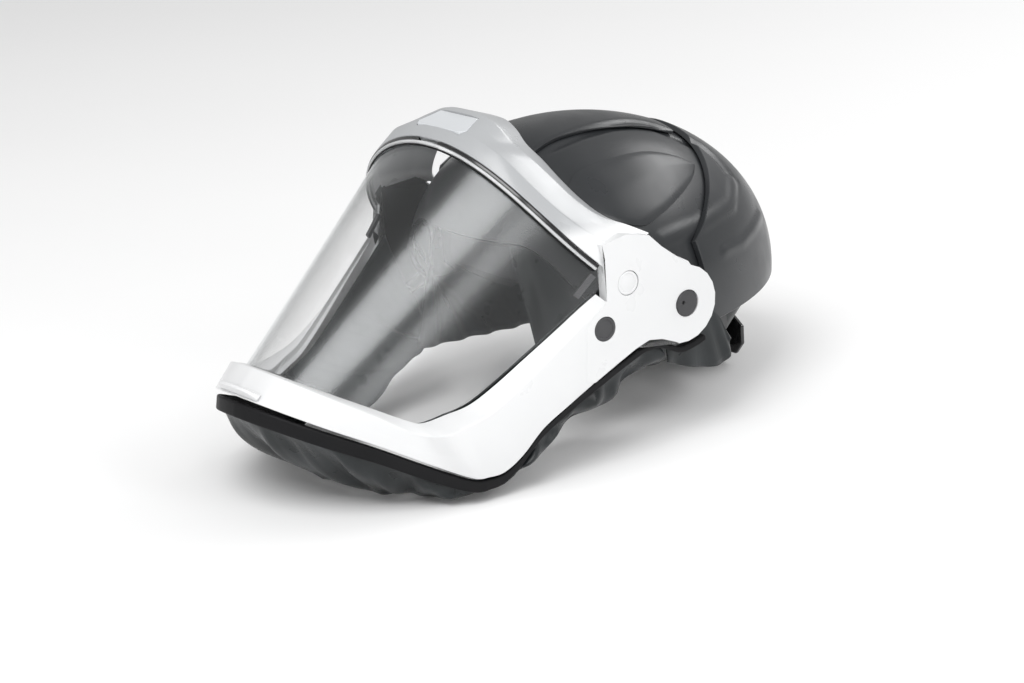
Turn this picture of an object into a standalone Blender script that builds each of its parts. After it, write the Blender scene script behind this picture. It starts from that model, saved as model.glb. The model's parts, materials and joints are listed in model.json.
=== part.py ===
"""Visor helmet of a powered air respirator.

Frame of the design: X to the wearer's left, -Y to the front, +Z up, millimetres from the visor's
pivot axis. place() turns that into metres above the surface that the helmet rests on. The object's
origin is the centre of its footprint.
"""
import math

import bmesh
import bpy
from mathutils import Matrix, Vector

MM = 0.001
PIVOT_Y = 50.2            # pivot axis behind the centre of the footprint
PIVOT_Z = 91.1            # pivot axis above the resting surface
GAP = 0.3                 # clearance between touching pieces

# Lens: an elliptic cone. phi goes round it, w runs down the slope, h stands off its face.
LENS_TILT = 44.4
LENS_HALF_WIDTH = 128.0
LENS_DEPTH = 156.5
LENS_SETBACK = -10.5
LENS_WIDTH_TAPER = -0.19
LENS_DEPTH_TAPER = 0.12
LENS_THICKNESS = 1.5
LENS_TOP = (-3.2, 46.0, -23.0)      # height of the top edge: constant, square and fourth power
LENS_TOP_PHI = 62.0
LENS_CORNER_PHI = 50.5
CHIN_W = 171.0
CHIN_DROP = 0.0068                  # how the chin edge rises with phi squared
LENS_EDGE = ((45.5, 157.3), (49.3, 153.5), (52.4, 142.0), (55.4, 129.0), (57.3, 110.0),
             (58.8, 88.0), (60.3, 66.0), (61.6, 45.0), (62.6, 32.0))    # phi, w up the strut
LENS_MARGIN = 3.0                   # width of lens under the frame's lip
LENS_CORNER_CUT = 2.0               # how much narrower its upper corners are, in degrees

# Side of the visor frame: a flat face that leans in towards the front.
SIDE_X = 118.0
SIDE_SLOPE = 0.117
SIDE_RIDGE = (((-180.0, -40.5), (-163.5, -72.6)), ((-166.0, -38.5), (-152.0, -75.0)),
              ((-149.0, -35.0), (-140.5, -74.6)), ((-131.0, -27.0), (-127.0, -67.5)),
              ((-111.5, -16.0), (-111.0, -54.3)), ((-91.0, -3.5), (-92.0, -44.6)),
              ((-73.0, 7.0), (-72.0, -34.8)), ((-60.0, 14.0), (-56.0, -27.0)))   # y, z of both edges
FRAME_WALL = 5.0
ARM_THICKNESS = 6.4
ARM_RADIUS = 25.0
ARM_PROUD = 0.2                     # the arm stands proud of the strut's side face
RAIL_THICKNESS = 5.0
RAIL_DROP = 1.1                     # gap between the frame and the rail
SEAL_THICKNESS = 6.0
INNER_SEAL_THICKNESS = 3.0
SEAL_SETBACK = 9.0                  # how far behind the lens the inner seal starts
SEAL_SAG = 5.0
SEAL_BELLY = 9.0                    # how far the fabric bulges out under the chin

# Helmet shell: a dome on two half ellipsoids.
SHELL_CENTRE = (0.0, -7.0, -17.0)
SHELL_HALF_WIDTH = 103.5
SHELL_REAR = 167.0
SHELL_FRONT = 84.0
SHELL_HEIGHT = 114.5
SHELL_FRONT_POWER = 2.6
SHELL_WALL = 3.0
RIM_FRONT_Z = 42.0
RIM_SIDE_Z = -25.0

PIN_RADIUS = 4.0
CAP_RADIUS = 8.4
PLUG_RADIUS = 7.6
PORT_PLACE = (-62.8, -2.0)          # y, z of the dark port plug
ROUND_PLACE = (-44.0, 23.2)         # y, z of the white plug

# Head harness: an egg shaped band round the head.
BAND_HALF_WIDTH = 83.0
BAND_FRONT = 82.0
BAND_REAR = 106.0
BAND_Y = 12.0
BAND_Z = 30.0
BAND_DROP = 102.0                   # how far the band sinks from the forehead to the nape
BAND_HEIGHT = 24.0
BAND_WALL = 2.0
STRAP_WIDTH = 18.0
KNOB_RADIUS = 19.0
PINION_RADIUS = 5.1
STRAP_THICKNESS = 1.4
RACK_HALF_HEIGHT = 9.0
TONGUE_HALF_HEIGHT = 3.0
TONGUE_RISE = 9.6                   # how far the tongues run above and below the pinion's axis
RACK_START = -28.0
RACK_END = 98.0                     # turn at which each rack ends, past the pinion

# Hose inlet at the nape, leaning back, and the air duct over the crown.
SOCKET_END = (0.0, 149.0, -43.0)
SOCKET_LEAN = 30.0
SOCKET_LENGTH = 22.0
SOCKET_RADIUS = 15.0
SOCKET_BORE = 12.0
SOCKET_NECK = 13.5                  # radius of the socket where the ring turns
RING_LENGTH = 9.0
RING_RADIUS = 17.5
DUCT_HALF_WIDTH = 26.0
DUCT_HEIGHT = 9.0
DUCT_WALL = 1.6
DUCT_REAR_ANGLE = 1.5
DUCT_FRONT_ANGLE = 119.0


# ---------------------------------------------------------------- places and shapes

def place(point):
    """A point of the design frame, in metres above the resting surface."""
    return Vector((point[0] * MM, (point[1] + PIVOT_Y) * MM, (point[2] + PIVOT_Z) * MM))


def lens_axes():
    tilt = math.radians(LENS_TILT)
    out = Vector((0.0, -math.cos(tilt), math.sin(tilt)))
    down = Vector((0.0, -math.sin(tilt), -math.cos(tilt)))
    return out, down


def cone(phi, w, h=0.0):
    """Point on the lens cone: phi in degrees from the middle, w down the slope, h off the face."""
    out, down = lens_axes()
    a = LENS_HALF_WIDTH + LENS_WIDTH_TAPER * w
    b = LENS_DEPTH + LENS_DEPTH_TAPER * w
    s = math.sin(math.radians(phi))
    c = math.cos(math.radians(phi))
    face = Vector((a * s, 0.0, 0.0)) + out * (LENS_SETBACK + b * c) + down * w
    round_it = Vector((a * c, 0.0, 0.0)) - out * (b * s)
    along = Vector((LENS_WIDTH_TAPER * s, 0.0, 0.0)) + out * (LENS_DEPTH_TAPER * c) + down
    return face + along.cross(round_it).normalized() * h


def side(y, z, inset=0.0):
    """Point on the left side face of the visor frame, or inset mm inside it."""
    return Vector((SIDE_X + SIDE_SLOPE * y - inset, y, z))


def top_edge(phi):
    """Slope coordinate of the lens's top edge."""
    u = min(abs(phi) / LENS_TOP_PHI, 1.0)
    return LENS_TOP[0] + LENS_TOP[1] * u ** 2 + LENS_TOP[2] * u ** 4


def chin_edge(phi):
    """Slope coordinate of the lens's bottom edge."""
    return CHIN_W - CHIN_DROP * phi ** 2


def shell_radius(direction):
    """Distance from the dome's centre to its face along a unit direction."""
    x, y, z = direction
    front = y < 0.0
    power = SHELL_FRONT_POWER if front else 2.0
    length = SHELL_FRONT if front else SHELL_REAR
    total = abs(y / length) ** power
    round_part = (x / SHELL_HALF_WIDTH) ** 2 + (z / SHELL_HEIGHT) ** 2
    if not front:
        return 1.0 / math.sqrt(total + round_part)
    low, high = 10.0, 400.0
    for _ in range(40):
        middle = 0.5 * (low + high)
        if (middle ** power) * total + (middle ** 2) * round_part > 1.0:
            high = middle
        else:
            low = middle
    return 0.5 * (low + high)


def dome(turn, rise, off=0.0):
    """Point of the dome: turn in degrees from the left towards the rear, rise above the centre."""
    t = math.radians(turn)
    e = math.radians(rise)
    direction = (math.cos(e) * math.cos(t), math.cos(e) * math.sin(t), math.sin(e))
    return Vector(SHELL_CENTRE) + Vector(direction) * (shell_radius(direction) + off)


def dome_from_side(y, z, off=0.0):
    """Point of the dome's left half at a given y and z."""
    dy = y - SHELL_CENTRE[1]
    dz = z - SHELL_CENTRE[2]
    power = SHELL_FRONT_POWER if dy < 0.0 else 2.0
    length = SHELL_FRONT if dy < 0.0 else SHELL_REAR
    rest = max(1.0 - abs(dy / length) ** power - (dz / SHELL_HEIGHT) ** 2, 0.0)
    surface = Vector((SHELL_HALF_WIDTH * math.sqrt(rest), y, z))
    centre = Vector(SHELL_CENTRE)
    away = (surface - centre).normalized()
    return surface + away * off


def dome_from_top(x, y, off=0.0):
    """Point of the dome straight above a given x and y."""
    dy = y - SHELL_CENTRE[1]
    power = SHELL_FRONT_POWER if dy < 0.0 else 2.0
    length = SHELL_FRONT if dy < 0.0 else SHELL_REAR
    rest = max(1.0 - abs(dy / length) ** power - (x / SHELL_HALF_WIDTH) ** 2, 0.0)
    surface = Vector((x, y, SHELL_CENTRE[2] + SHELL_HEIGHT * math.sqrt(rest)))
    centre = Vector(SHELL_CENTRE)
    away = (surface - centre).normalized()
    return surface + away * off


def spline(points, count):
    """Smooth curve through points of any dimension, with count steps between neighbours."""
    result = []
    last = len(points) - 1
    for i in range(last):
        before = points[max(i - 1, 0)]
        start = points[i]
        end = points[i + 1]
        after = points[min(i + 2, last)]
        for k in range(count):
            t = k / count
            result.append(tuple(
                0.5 * (2 * b + (c - a) * t + (2 * a - 5 * b + 4 * c - d) * t ** 2
                       + (3 * b - a - 3 * c + d) * t ** 3)
                for a, b, c, d in zip(before, start, end, after)))
    result.append(tuple(points[last]))
    return result


def mirrored(points):
    """The same points on the wearer's right."""
    return [Vector((-p[0], p[1], p[2])) for p in points]


# ---------------------------------------------------------------- meshes

def material(name, colour, roughness, metallic=0.0, alpha=1.0):
    made = bpy.data.materials.new(name)
    made.use_nodes = True
    shader = made.node_tree.nodes["Principled BSDF"]
    shader.inputs["Base Color"].default_value = (*colour, 1.0)
    shader.inputs["Roughness"].default_value = roughness
    shader.inputs["Metallic"].default_value = metallic
    shader.inputs["Alpha"].default_value = alpha
    return made


def add(name, bm, finish, smooth_angle=30.0):
    """Makes a node from a bmesh whose points are in the design frame."""
    for vertex in bm.verts:
        vertex.co = place(vertex.co)
    bmesh.ops.recalc_face_normals(bm, faces=bm.faces)
    mesh = bpy.data.meshes.new(name)
    bm.to_mesh(mesh)
    bm.free()
    mesh.shade_smooth()
    mesh.set_sharp_from_angle(angle=math.radians(smooth_angle))
    mesh.materials.append(finish)
    made = bpy.data.objects.new(name, mesh)
    bpy.context.scene.collection.objects.link(made)
    return made


def loft(rings, closed=False):
    """Skin over rings of equal length. An open loft gets a cap on each end."""
    bm = bmesh.new()
    rows = [[bm.verts.new(p) for p in ring] for ring in rings]
    pairs = list(zip(rows, rows[1:]))
    if closed:
        pairs.append((rows[-1], rows[0]))
    for row, following in pairs:
        for i in range(len(row)):
            j = (i + 1) % len(row)
            bm.faces.new((row[i], row[j], following[j], following[i]))
    if not closed:
        for row in (rows[0], rows[-1]):
            cap = bm.faces.new(row)
            bmesh.ops.triangulate(bm, faces=[cap], ngon_method="EAR_CLIP")
    return bm


def slab(outer, inner):
    """Closed skin between two grids of the same size, such as the two faces of a sheet."""
    bm = bmesh.new()
    faces = []
    for grid in (outer, inner):
        faces.append([[bm.verts.new(p) for p in row] for row in grid])
    rows = len(outer)
    columns = len(outer[0])
    for grid in faces:
        for i in range(rows - 1):
            for j in range(columns - 1):
                bm.faces.new((grid[i][j], grid[i][j + 1], grid[i + 1][j + 1], grid[i + 1][j]))
    rim = [(0, j) for j in range(columns)]
    rim += [(i, columns - 1) for i in range(1, rows)]
    rim += [(rows - 1, j) for j in range(columns - 2, -1, -1)]
    rim += [(i, 0) for i in range(rows - 2, 0, -1)]
    for (a, b), (c, d) in zip(rim, rim[1:] + rim[:1]):
        bm.faces.new((faces[0][a][b], faces[0][c][d], faces[1][c][d], faces[1][a][b]))
    return bm


def turned(profile, steps=32):
    """Solid of revolution about local Z. The profile is a closed list of (radius, height)."""
    bm = bmesh.new()
    rings = []
    for k in range(steps):
        angle = 2.0 * math.pi * k / steps
        rings.append([Vector((r * math.cos(angle), r * math.sin(angle), z)) for r, z in profile])
    centre_rows = [i for i, (r, _) in enumerate(profile) if r == 0.0]
    made = {}
    for i in centre_rows:
        made[i] = bm.verts.new((0.0, 0.0, profile[i][1]))
    rows = []
    for ring in rings:
        rows.append([made[i] if i in made else bm.verts.new(p) for i, p in enumerate(ring)])
    for row, following in zip(rows, rows[1:] + rows[:1]):
        for i in range(len(row)):
            j = (i + 1) % len(row)
            corners = []
            for vertex in (row[i], row[j], following[j], following[i]):
                if vertex not in corners:
                    corners.append(vertex)
            if len(corners) > 2:
                bm.faces.new(corners)
    return bm


def moved(bm, centre, axis):
    """Turns a mesh's Z axis to axis and moves it to centre, both in the design frame."""
    turn = Vector((0.0, 0.0, 1.0)).rotation_difference(Vector(axis)).to_matrix().to_4x4()
    bmesh.ops.transform(bm, matrix=Matrix.Translation(Vector(centre)) @ turn, verts=bm.verts)
    return bm


def prism(outline, start, end):
    """Extrusion of a plane outline given as 3D points, from start to end along a vector each."""
    return loft([[Vector(p) + Vector(start) for p in outline],
                 [Vector(p) + Vector(end) for p in outline]])


def boolean(target, cutter, operation, solver="EXACT"):
    step = target.modifiers.new(operation.lower(), "BOOLEAN")
    step.operation = operation
    step.solver = solver
    step.object = cutter
    cutter.hide_render = True
    cutter.display_type = "WIRE"


def bevel(target, width, segments=2, angle=35.0):
    step = target.modifiers.new("edge_radius", "BEVEL")
    step.width = width * MM
    step.segments = segments
    step.limit_method = "ANGLE"
    step.angle_limit = math.radians(angle)
    step.harden_normals = False


# ---------------------------------------------------------------- visor

def strut_stations():
    """Left half of the chin bar and strut, as (lens edge, ridge, outer edge) triples."""
    stations = []
    for share in (0.0, 0.2, 0.4, 0.6, 0.8):
        phi = 46.0 * share
        outer_phi = 55.0 * share
        stations.append((cone(phi, chin_edge(phi), 0.5),
                         cone(phi * 1.05, chin_edge(phi) + 4.0, 9.0),
                         cone(outer_phi, 195.0 - 0.0079 * outer_phi ** 2, 8.0)))
    outer = [(cone(49.5, 161.0, 9.3), cone(57.0, 171.5, 8.0))]
    for (y, z), (outer_y, outer_z) in SIDE_RIDGE:
        outer.append((side(y, z), side(outer_y, outer_z)))
    for (phi, w), (ridge, edge) in zip(LENS_EDGE, outer):
        stations.append((cone(phi, w, 0.5), ridge, edge))
    return stations


def strut_section(edge, ridge, outer):
    """Closed section of the strut: lip over the lens, ridge, outer face and back."""
    across = (outer - ridge).normalized()
    inward = (edge - ridge).normalized()
    back = inward - across * inward.dot(across)
    back = back.normalized()
    return [edge, ridge, ridge.lerp(outer, 0.5), outer,
            outer + back * 3.5 - across * 1.0,
            outer + back * FRAME_WALL - across * 3.0,
            ridge.lerp(outer, 0.3) + back * (FRAME_WALL + 2.0),
            edge + across * 6.0 + back * 3.0,
            edge + across * 4.5]


def strut_band(finish):
    """Chin bar and both struts, as one band from cheek to cheek."""
    left = spline([tuple(c for p in s for c in p) for s in strut_stations()], 2)
    stations = [[Vector(v[0:3]), Vector(v[3:6]), Vector(v[6:9])] for v in left]
    rings = [strut_section(*s) for s in stations]
    other = [mirrored(ring) for ring in rings[:0:-1]]
    return add("visor_chin", loft(other + rings), finish)


def brow_stations():
    """Left half of the brow, as (phi of the front edge, ridge, crest, back edge)."""
    return [
        (0.0, (0.0, -92.0, 115.5), (0.0, -70.0, 120.5), (0.0, -50.0, 113.0)),
        (7.0, (15.0, -91.5, 115.0), (15.0, -70.0, 119.8), (14.0, -50.0, 112.0)),
        (13.5, (28.0, -90.5, 112.8), (27.5, -70.5, 116.0), (25.0, -51.0, 107.5)),
        (19.0, (39.0, -89.5, 109.0), (38.0, -67.0, 105.5), (35.0, -52.0, 100.0)),
        (26.5, (52.0, -87.8, 103.0), (52.0, -64.6, 97.0), (47.0, -50.0, 91.5)),
        (36.0, (68.0, -83.5, 90.0), (65.0, -59.5, 85.5), (59.0, -47.0, 80.5)),
        (45.0, (85.0, -77.5, 75.5), (79.0, -53.5, 72.5), (71.0, -42.0, 69.0)),
        (53.0, (99.0, -67.5, 61.5), (91.0, -44.5, 62.0), (82.0, -35.0, 59.0)),
        (58.5, (108.3, -57.0, 52.0), (101.0, -32.0, 55.5), (92.0, -25.0, 51.5)),
        (60.5, (113.2, -41.0, 46.0), (108.0, -20.0, 48.5), (99.0, -14.0, 43.5)),
    ]


def brow_section(phi, ridge, crest, back):
    """Closed section of the brow band: sloping front, top, drop to the shell, and hollow back."""
    front = cone(phi, top_edge(phi) - 3.5, 3.2 - 2.2 * max((phi - 57.0) / 3.5, 0.0))
    rear = (crest - ridge).normalized()
    rise = (ridge - front).normalized()
    under = (rear.cross(rise).cross(rear)).normalized() * -1.0
    return [front, ridge, ridge.lerp(crest, 0.5) + under * -0.6, crest, back,
            back + under * 3.5,
            crest + under * FRAME_WALL,
            ridge + under * (FRAME_WALL + 1.0) + rear * 2.0,
            cone(phi, top_edge(phi) - 3.5, GAP)]


def brow_band(finish):
    """The brow from cheek to cheek."""
    flat = [(phi, *ridge, *crest, *back) for phi, ridge, crest, back in brow_stations()]
    rings = []
    for value in spline(flat, 3):
        rings.append(brow_section(value[0], Vector(value[1:4]), Vector(value[4:7]), Vector(value[7:10])))
    other = [mirrored(ring) for ring in rings[:0:-1]]
    return add("visor_brow", loft(other + rings), finish)


def arm_outline():
    """Outline of the left arm in y and z: its round end, and the cheek in front of it."""
    upper = [(-62.0, 51.0), (-44.0, 54.0), (-27.0, 50.0), (-18.0, 41.0), (-8.0, 33.0), (2.0, 27.0)]
    lower = [(-9.0, -23.5), (-20.0, -18.7), (-30.0, -17.0), (-40.0, -20.0), (-55.0, -26.5),
             (-72.0, -34.5), (-78.0, -33.0), (-76.0, 2.0), (-68.0, 9.0), (-60.4, 15.0),
             (-60.4, 42.0)]
    end = []
    for k in range(11):
        angle = math.radians(74.0 - 17.4 * k)
        end.append((-3.0 + ARM_RADIUS * math.cos(angle), ARM_RADIUS * math.sin(angle)))
    return upper + end + lower


def arm(sign, finish):
    outline = arm_outline()
    outer = [side(y, z, -ARM_PROUD) for y, z in outline]
    inner = [side(y, z, ARM_THICKNESS) for y, z in outline]
    if sign < 0:
        outer = mirrored(outer)
        inner = mirrored(inner)
    return add("visor_arm", loft([inner, outer]), finish)


def round_cutter(centre, axis, radius, depth):
    """Wire guide that bores a round recess."""
    bm = moved(turned([(0.0, -depth), (radius, -depth), (radius, depth), (0.0, depth)], 32),
               centre, axis)
    return add("bore_guide", bm, bpy.data.materials["guide"])


def side_axis(sign):
    """Outward normal of the side face."""
    return Vector((sign, -SIDE_SLOPE, 0.0)).normalized()


def on_side(sign, y, z, inset=0.0):
    point = side(y, z, inset)
    return Vector((sign * point[0], point[1], point[2]))


def visor_frame(finish):
    """Brow, cheeks, struts and chin bar in one piece, with its recesses and the groove of the lens."""
    frame = strut_band(finish)
    frame.name = "visor_frame"
    guide = bpy.data.materials["guide"]
    for piece in (brow_band(finish), arm(1, finish), arm(-1, finish)):
        boolean(frame, piece, "UNION", "MANIFOLD")
    cutters = [badge_solid("badge_guide", GAP, -2.5, 6.0, guide), lens_solid("lens_guide", GAP, guide)]
    for sign in (1, -1):
        cutters.append(round_cutter(on_side(sign, 0.0, 0.0, 1.0), (sign, 0, 0), CAP_RADIUS + GAP, 3.0))
        cutters.append(round_cutter(on_side(sign, 0.0, 0.0, 4.0), (sign, 0, 0), PIN_RADIUS + 1.5, 14.0))
        for y, z in (PORT_PLACE, ROUND_PLACE):
            cutters.append(round_cutter(on_side(sign, y, z), side_axis(sign), PLUG_RADIUS + GAP, 3.2))
    for cutter in cutters:
        boolean(frame, cutter, "DIFFERENCE", "MANIFOLD")
    return frame


def badge_solid(name, grow, low, high, finish):
    """Plain panel let into the top of the brow, as an outline raised from low to high."""
    half = 23.0 + grow
    outline = [(-half + 3.0, -93.5 - grow), (half - 3.0, -93.5 - grow), (half, -90.0),
               (half - 5.0, -75.5 + grow), (-half + 5.0, -75.5 + grow), (-half, -90.0)]
    rings = []
    for z in (low, high):
        rings.append([Vector((x, y, brow_top(x, y) + z)) for x, y in outline])
    return add(name, loft(rings), finish)


def brow_top(x, y):
    """Height of the brow's top face near its middle."""
    share = (-70.0 - y) / 22.0
    return 120.5 - 5.0 * share - 0.0045 * x ** 2


def lens_solid(name, grow, finish):
    """The lens, or the space it needs when grow is more than nothing."""
    rows = 12
    columns = 28
    outer = []
    inner = []
    for i in range(rows + 1):
        b = i / rows
        phi_edge = LENS_TOP_PHI + 1.0 + 0.5 * grow + (LENS_CORNER_PHI - LENS_TOP_PHI) * b ** 1.6
        if i == 0:
            phi_edge -= LENS_CORNER_CUT
        outer_row = []
        inner_row = []
        for j in range(columns + 1):
            phi = phi_edge * (2.0 * j / columns - 1.0)
            high = top_edge(phi) - LENS_MARGIN - grow
            low = chin_edge(phi) + LENS_MARGIN + grow
            w = high + (low - high) * b
            outer_row.append(cone(phi, w, grow))
            inner_row.append(cone(phi, w, -LENS_THICKNESS - grow))
        outer.append(outer_row)
        inner.append(inner_row)
    return add(name, slab(outer, inner), finish)


def lens_rim(finish):
    """Clear lip along the lens's top edge, in front of it and under the brow."""
    rings = []
    steps = 36
    for k in range(steps + 1):
        phi = (LENS_TOP_PHI - 3.0) * (2.0 * k / steps - 1.0)
        w = top_edge(phi)
        rings.append([cone(phi, w + 1.0, GAP), cone(phi, w + 1.0, 2.2), cone(phi, w - 3.0, 3.2),
                      cone(phi, w - 3.0, GAP)])
    return add("lens_rim", loft(rings), finish)


def lens_clip(sign, name, finish):
    """Clip over the end of the lens at the cheek."""
    rings = []
    for share in (0.0, 0.25, 0.5, 0.75, 1.0):
        w = 23.0 + 17.0 * share
        ring = [cone(59.0, w, -LENS_THICKNESS - GAP - 2.0), cone(60.6, w, -LENS_THICKNESS - GAP - 2.0),
                cone(60.6, w, -LENS_THICKNESS - GAP), cone(59.0, w, -LENS_THICKNESS - GAP)]
        rings.append(ring if sign > 0 else mirrored(ring))
    return add(name, loft(rings), finish)


def disc(name, centre, axis, radius, thickness, finish):
    """Round plug with an eased edge."""
    half = thickness / 2.0
    profile = [(0.0, -half), (radius, -half), (radius, half - 0.6), (radius - 0.6, half), (0.0, half)]
    return add(name, moved(turned(profile), centre, axis), finish)


def pivot_parts(finishes):
    for sign, label in ((1, "left"), (-1, "right")):
        axis = (sign, 0, 0)
        disc("pivot_cap_" + label, on_side(sign, 0.0, 0.0, 0.4), axis, CAP_RADIUS, 2.4,
             finishes["dark_plastic"])
        start = SHELL_HALF_WIDTH - 9.0
        head = SIDE_X - 2.6
        pin = [(0.0, start), (PIN_RADIUS, start), (PIN_RADIUS, head - 2.0), (PIN_RADIUS + 1.2, head - 1.2),
               (PIN_RADIUS + 1.2, head), (0.0, head)]
        add("pivot_pin_" + label, moved(turned(pin, 24), (0, 0, 0), axis), finishes["steel"])
        boss = [(PIN_RADIUS + GAP, 103.9), (13.0, 103.9), (12.0, 110.2), (PIN_RADIUS + GAP, 110.2)]
        add("pivot_bush_" + label, moved(turned(boss, 28), (0, 0, 0), axis), finishes["dark_plastic"])
        disc("port_plug_" + label, on_side(sign, *PORT_PLACE, 1.0), side_axis(sign), PLUG_RADIUS, 3.0,
             finishes["dark_plastic"])
        disc("round_plug_" + label, on_side(sign, *ROUND_PLACE, 1.3), side_axis(sign), PLUG_RADIUS, 3.0,
             finishes["white_plastic"])


def rail_path():
    """Under edge of the frame from the left ear to the chin: (point, way down, rail height)."""
    path = [(side(14.0, -23.0, 3.0), Vector((0, 0.3, -1)), 4.0)]
    path.append((side(-4.0, -27.0, 3.0), Vector((0, 0.1, -1)), 4.0))
    path.append((side(-20.0, -20.5, 3.0), Vector((0, 0.2, -1)), 4.0))
    path.append((side(-38.0, -21.5, 3.0), Vector((0, 0.4, -1)), 4.0))
    stations = strut_stations()[:-1]
    for k in range(len(stations) - 1, -1, -1):
        edge, ridge, outer = stations[k]
        across = (outer - ridge).normalized()
        inward = (edge - ridge).normalized()
        back = (inward - across * inward.dot(across)).normalized()
        share = min(max((9.0 - k) / 4.0, 0.0), 1.0)
        down = (across + Vector((0.0, 0.0, -3.0 * share))).normalized()
        path.append((outer + across * 0.4 + back * (3.0 + 1.5 * share), down, 4.5 + 5.0 * share))
    return path


def rail_rings():
    """Left half of the rail as rings: outer top, outer bottom, inner bottom, inner top."""
    flat = spline([(*point, *down, height) for point, down, height in rail_path()], 2)
    rings = []
    for k, value in enumerate(flat):
        point = Vector(value[0:3])
        down = Vector(value[3:6]).normalized()
        ahead = Vector(flat[min(k + 1, len(flat) - 1)][0:3])
        behind = Vector(flat[max(k - 1, 0)][0:3])
        if k == len(flat) - 1:
            ahead = Vector((-behind.x, behind.y, behind.z))
        out = (ahead - behind).normalized().cross(down).normalized()
        if out.dot(Vector((point.x, point.y + 90.0, 0.0))) < 0.0:
            out = -out
        top = point + down * RAIL_DROP
        bottom = top + down * value[6]
        half = out * RAIL_THICKNESS / 2.0
        rings.append([top + half, bottom + half, bottom - half, top - half])
    return rings


def seal_rail(finish):
    """Rubber bead along the frame's under edge. It holds the face seal."""
    rings = rail_rings()
    other = [mirrored(ring) for ring in rings[-2::-1]]
    return add("seal_rail", loft(rings + other), finish)


def seal_hem():
    """Lower hem of the face seal on the left, from the ear to the middle of the chin."""
    return [(105.0, -16.0, -42.0), (104.0, -34.0, -46.5), (102.0, -66.0, -56.0), (100.5, -88.0, -64.0),
            (99.0, -106.0, -72.5), (97.0, -122.0, -79.0), (92.0, -137.0, -86.5), (87.0, -150.0, -89.5),
            (80.0, -161.0, -90.5), (68.0, -174.0, -91.0), (56.0, -184.0, -91.0), (44.0, -192.0, -90.0),
            (30.0, -199.0, -88.5), (15.0, -205.0, -87.0), (0.0, -208.0, -86.5)]


def face_seal(finish):
    """Plain solid in the place of the gathered fabric under the rail."""
    rings = rail_rings()[4:]
    hem = spline(seal_hem(), 2)
    outer = []
    inner = []
    for k, (ring, bottom) in enumerate(zip(rings, hem)):
        down = (ring[1] - ring[0]).normalized()
        low = Vector(bottom)
        high = ring[1].lerp(ring[2], 0.1) + down * GAP
        out = Vector((high.x, high.y + 60.0, 0.0)).normalized()
        belly = high.lerp(low, 0.5) + out * SEAL_BELLY * k / len(rings)
        step = out * -SEAL_THICKNESS
        under = (ring[2] - ring[1]).normalized() * SEAL_THICKNESS
        outer.append([high, belly, low])
        inner.append([high + under, belly + step, low + step])
    for grid in (outer, inner):
        grid += [mirrored(row) for row in grid[-2::-1]]
    return add("face_seal", slab(outer, inner), finish)


def face_opening():
    """Elastic edge of the inner seal on the left, from the cheek to the middle of the chin."""
    return [(89.0, -52.0, -28.0), (84.0, -52.0, -38.0), (76.0, -54.0, -47.0), (67.0, -61.0, -52.0),
            (61.0, -72.0, -52.0), (60.0, -84.0, -56.0), (60.0, -96.0, -64.0), (59.0, -108.0, -71.0),
            (55.0, -122.0, -75.0), (47.0, -137.0, -74.0), (36.0, -150.0, -70.0), (24.0, -160.0, -66.0),
            (12.0, -167.0, -63.0), (0.0, -170.0, -62.0)]


def inner_seal(finish):
    """Plain solid in the place of the fabric between the lens's edge and the wearer's face."""
    outer_edge = []
    for phi, w in reversed(LENS_EDGE):
        outer_edge.append(cone(phi - 2.5, w - 2.0, -SEAL_SETBACK))
    for share in (0.8, 0.6, 0.4, 0.2, 0.0):
        phi = 46.0 * share
        outer_edge.append(cone(phi, chin_edge(phi) - 2.0, -SEAL_SETBACK))
    top = []
    under = []
    flat = spline([(*a, *b) for a, b in zip(outer_edge, face_opening())], 2)
    for value in flat:
        start = Vector(value[0:3])
        end = Vector(value[3:6])
        sag = Vector((0.0, 0.0, -SEAL_SAG))
        row = [start, start.lerp(end, 0.5) + sag, end]
        top.append(row)
        under.append([point + Vector((0.0, 0.0, -INNER_SEAL_THICKNESS)) for point in row])
    for grid in (top, under):
        grid += [mirrored(row) for row in grid[-2::-1]]
    return add("inner_seal", slab(top, under), finish)


def ear_flap(sign, name, finish):
    """Soft flap between the frame's arm and the shell, below the pivot."""
    outline = [(-10.0, -29.5), (4.0, -29.5), (20.0, -22.0), (27.0, -12.0), (38.0, -22.0),
               (46.0, -38.0), (44.0, -50.0), (30.0, -52.0), (8.0, -46.0), (-10.0, -38.0)]
    outer = [Vector((109.8, y, z)) for y, z in outline]
    inner = [Vector((107.0, y, z)) for y, z in outline]
    if sign < 0:
        outer = mirrored(outer)
        inner = mirrored(inner)
    return add(name, loft([inner, outer]), finish)


def chin_tab(finish):
    """Lift lip on the middle of the chin bar's lower edge."""
    rings = []
    for share in (-1.0, -0.8, -0.4, 0.0, 0.4, 0.8, 1.0):
        phi = 10.0 * share
        reach = 5.0 * (1.0 - share ** 4) + 0.8
        w = 195.0 - 0.0079 * phi ** 2
        rings.append([cone(phi, w - 6.0, 9.0), cone(phi, w - 4.0, 9.0 + reach),
                      cone(phi, w - 2.0, 9.2 + reach), cone(phi, w - 1.0, 9.0)])
    return add("chin_tab", loft(rings), finish)


# ---------------------------------------------------------------- helmet shell

def rim_height(turn):
    """Height of the shell's rim for a turn from the left (0) through the rear (90)."""
    forward = max(-math.sin(math.radians(turn)), 0.0)
    ease = min(max((forward - 0.12) / 0.72, 0.0), 1.0)
    ease = ease * ease * (3.0 - 2.0 * ease)
    return RIM_SIDE_Z + (RIM_FRONT_Z - RIM_SIDE_Z) * ease


def rise_at(turn, z):
    """Rise whose dome point is at height z."""
    low, high = -60.0, 89.0
    for _ in range(40):
        middle = 0.5 * (low + high)
        if dome(turn, middle)[2] > z:
            high = middle
        else:
            low = middle
    return 0.5 * (low + high)


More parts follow.
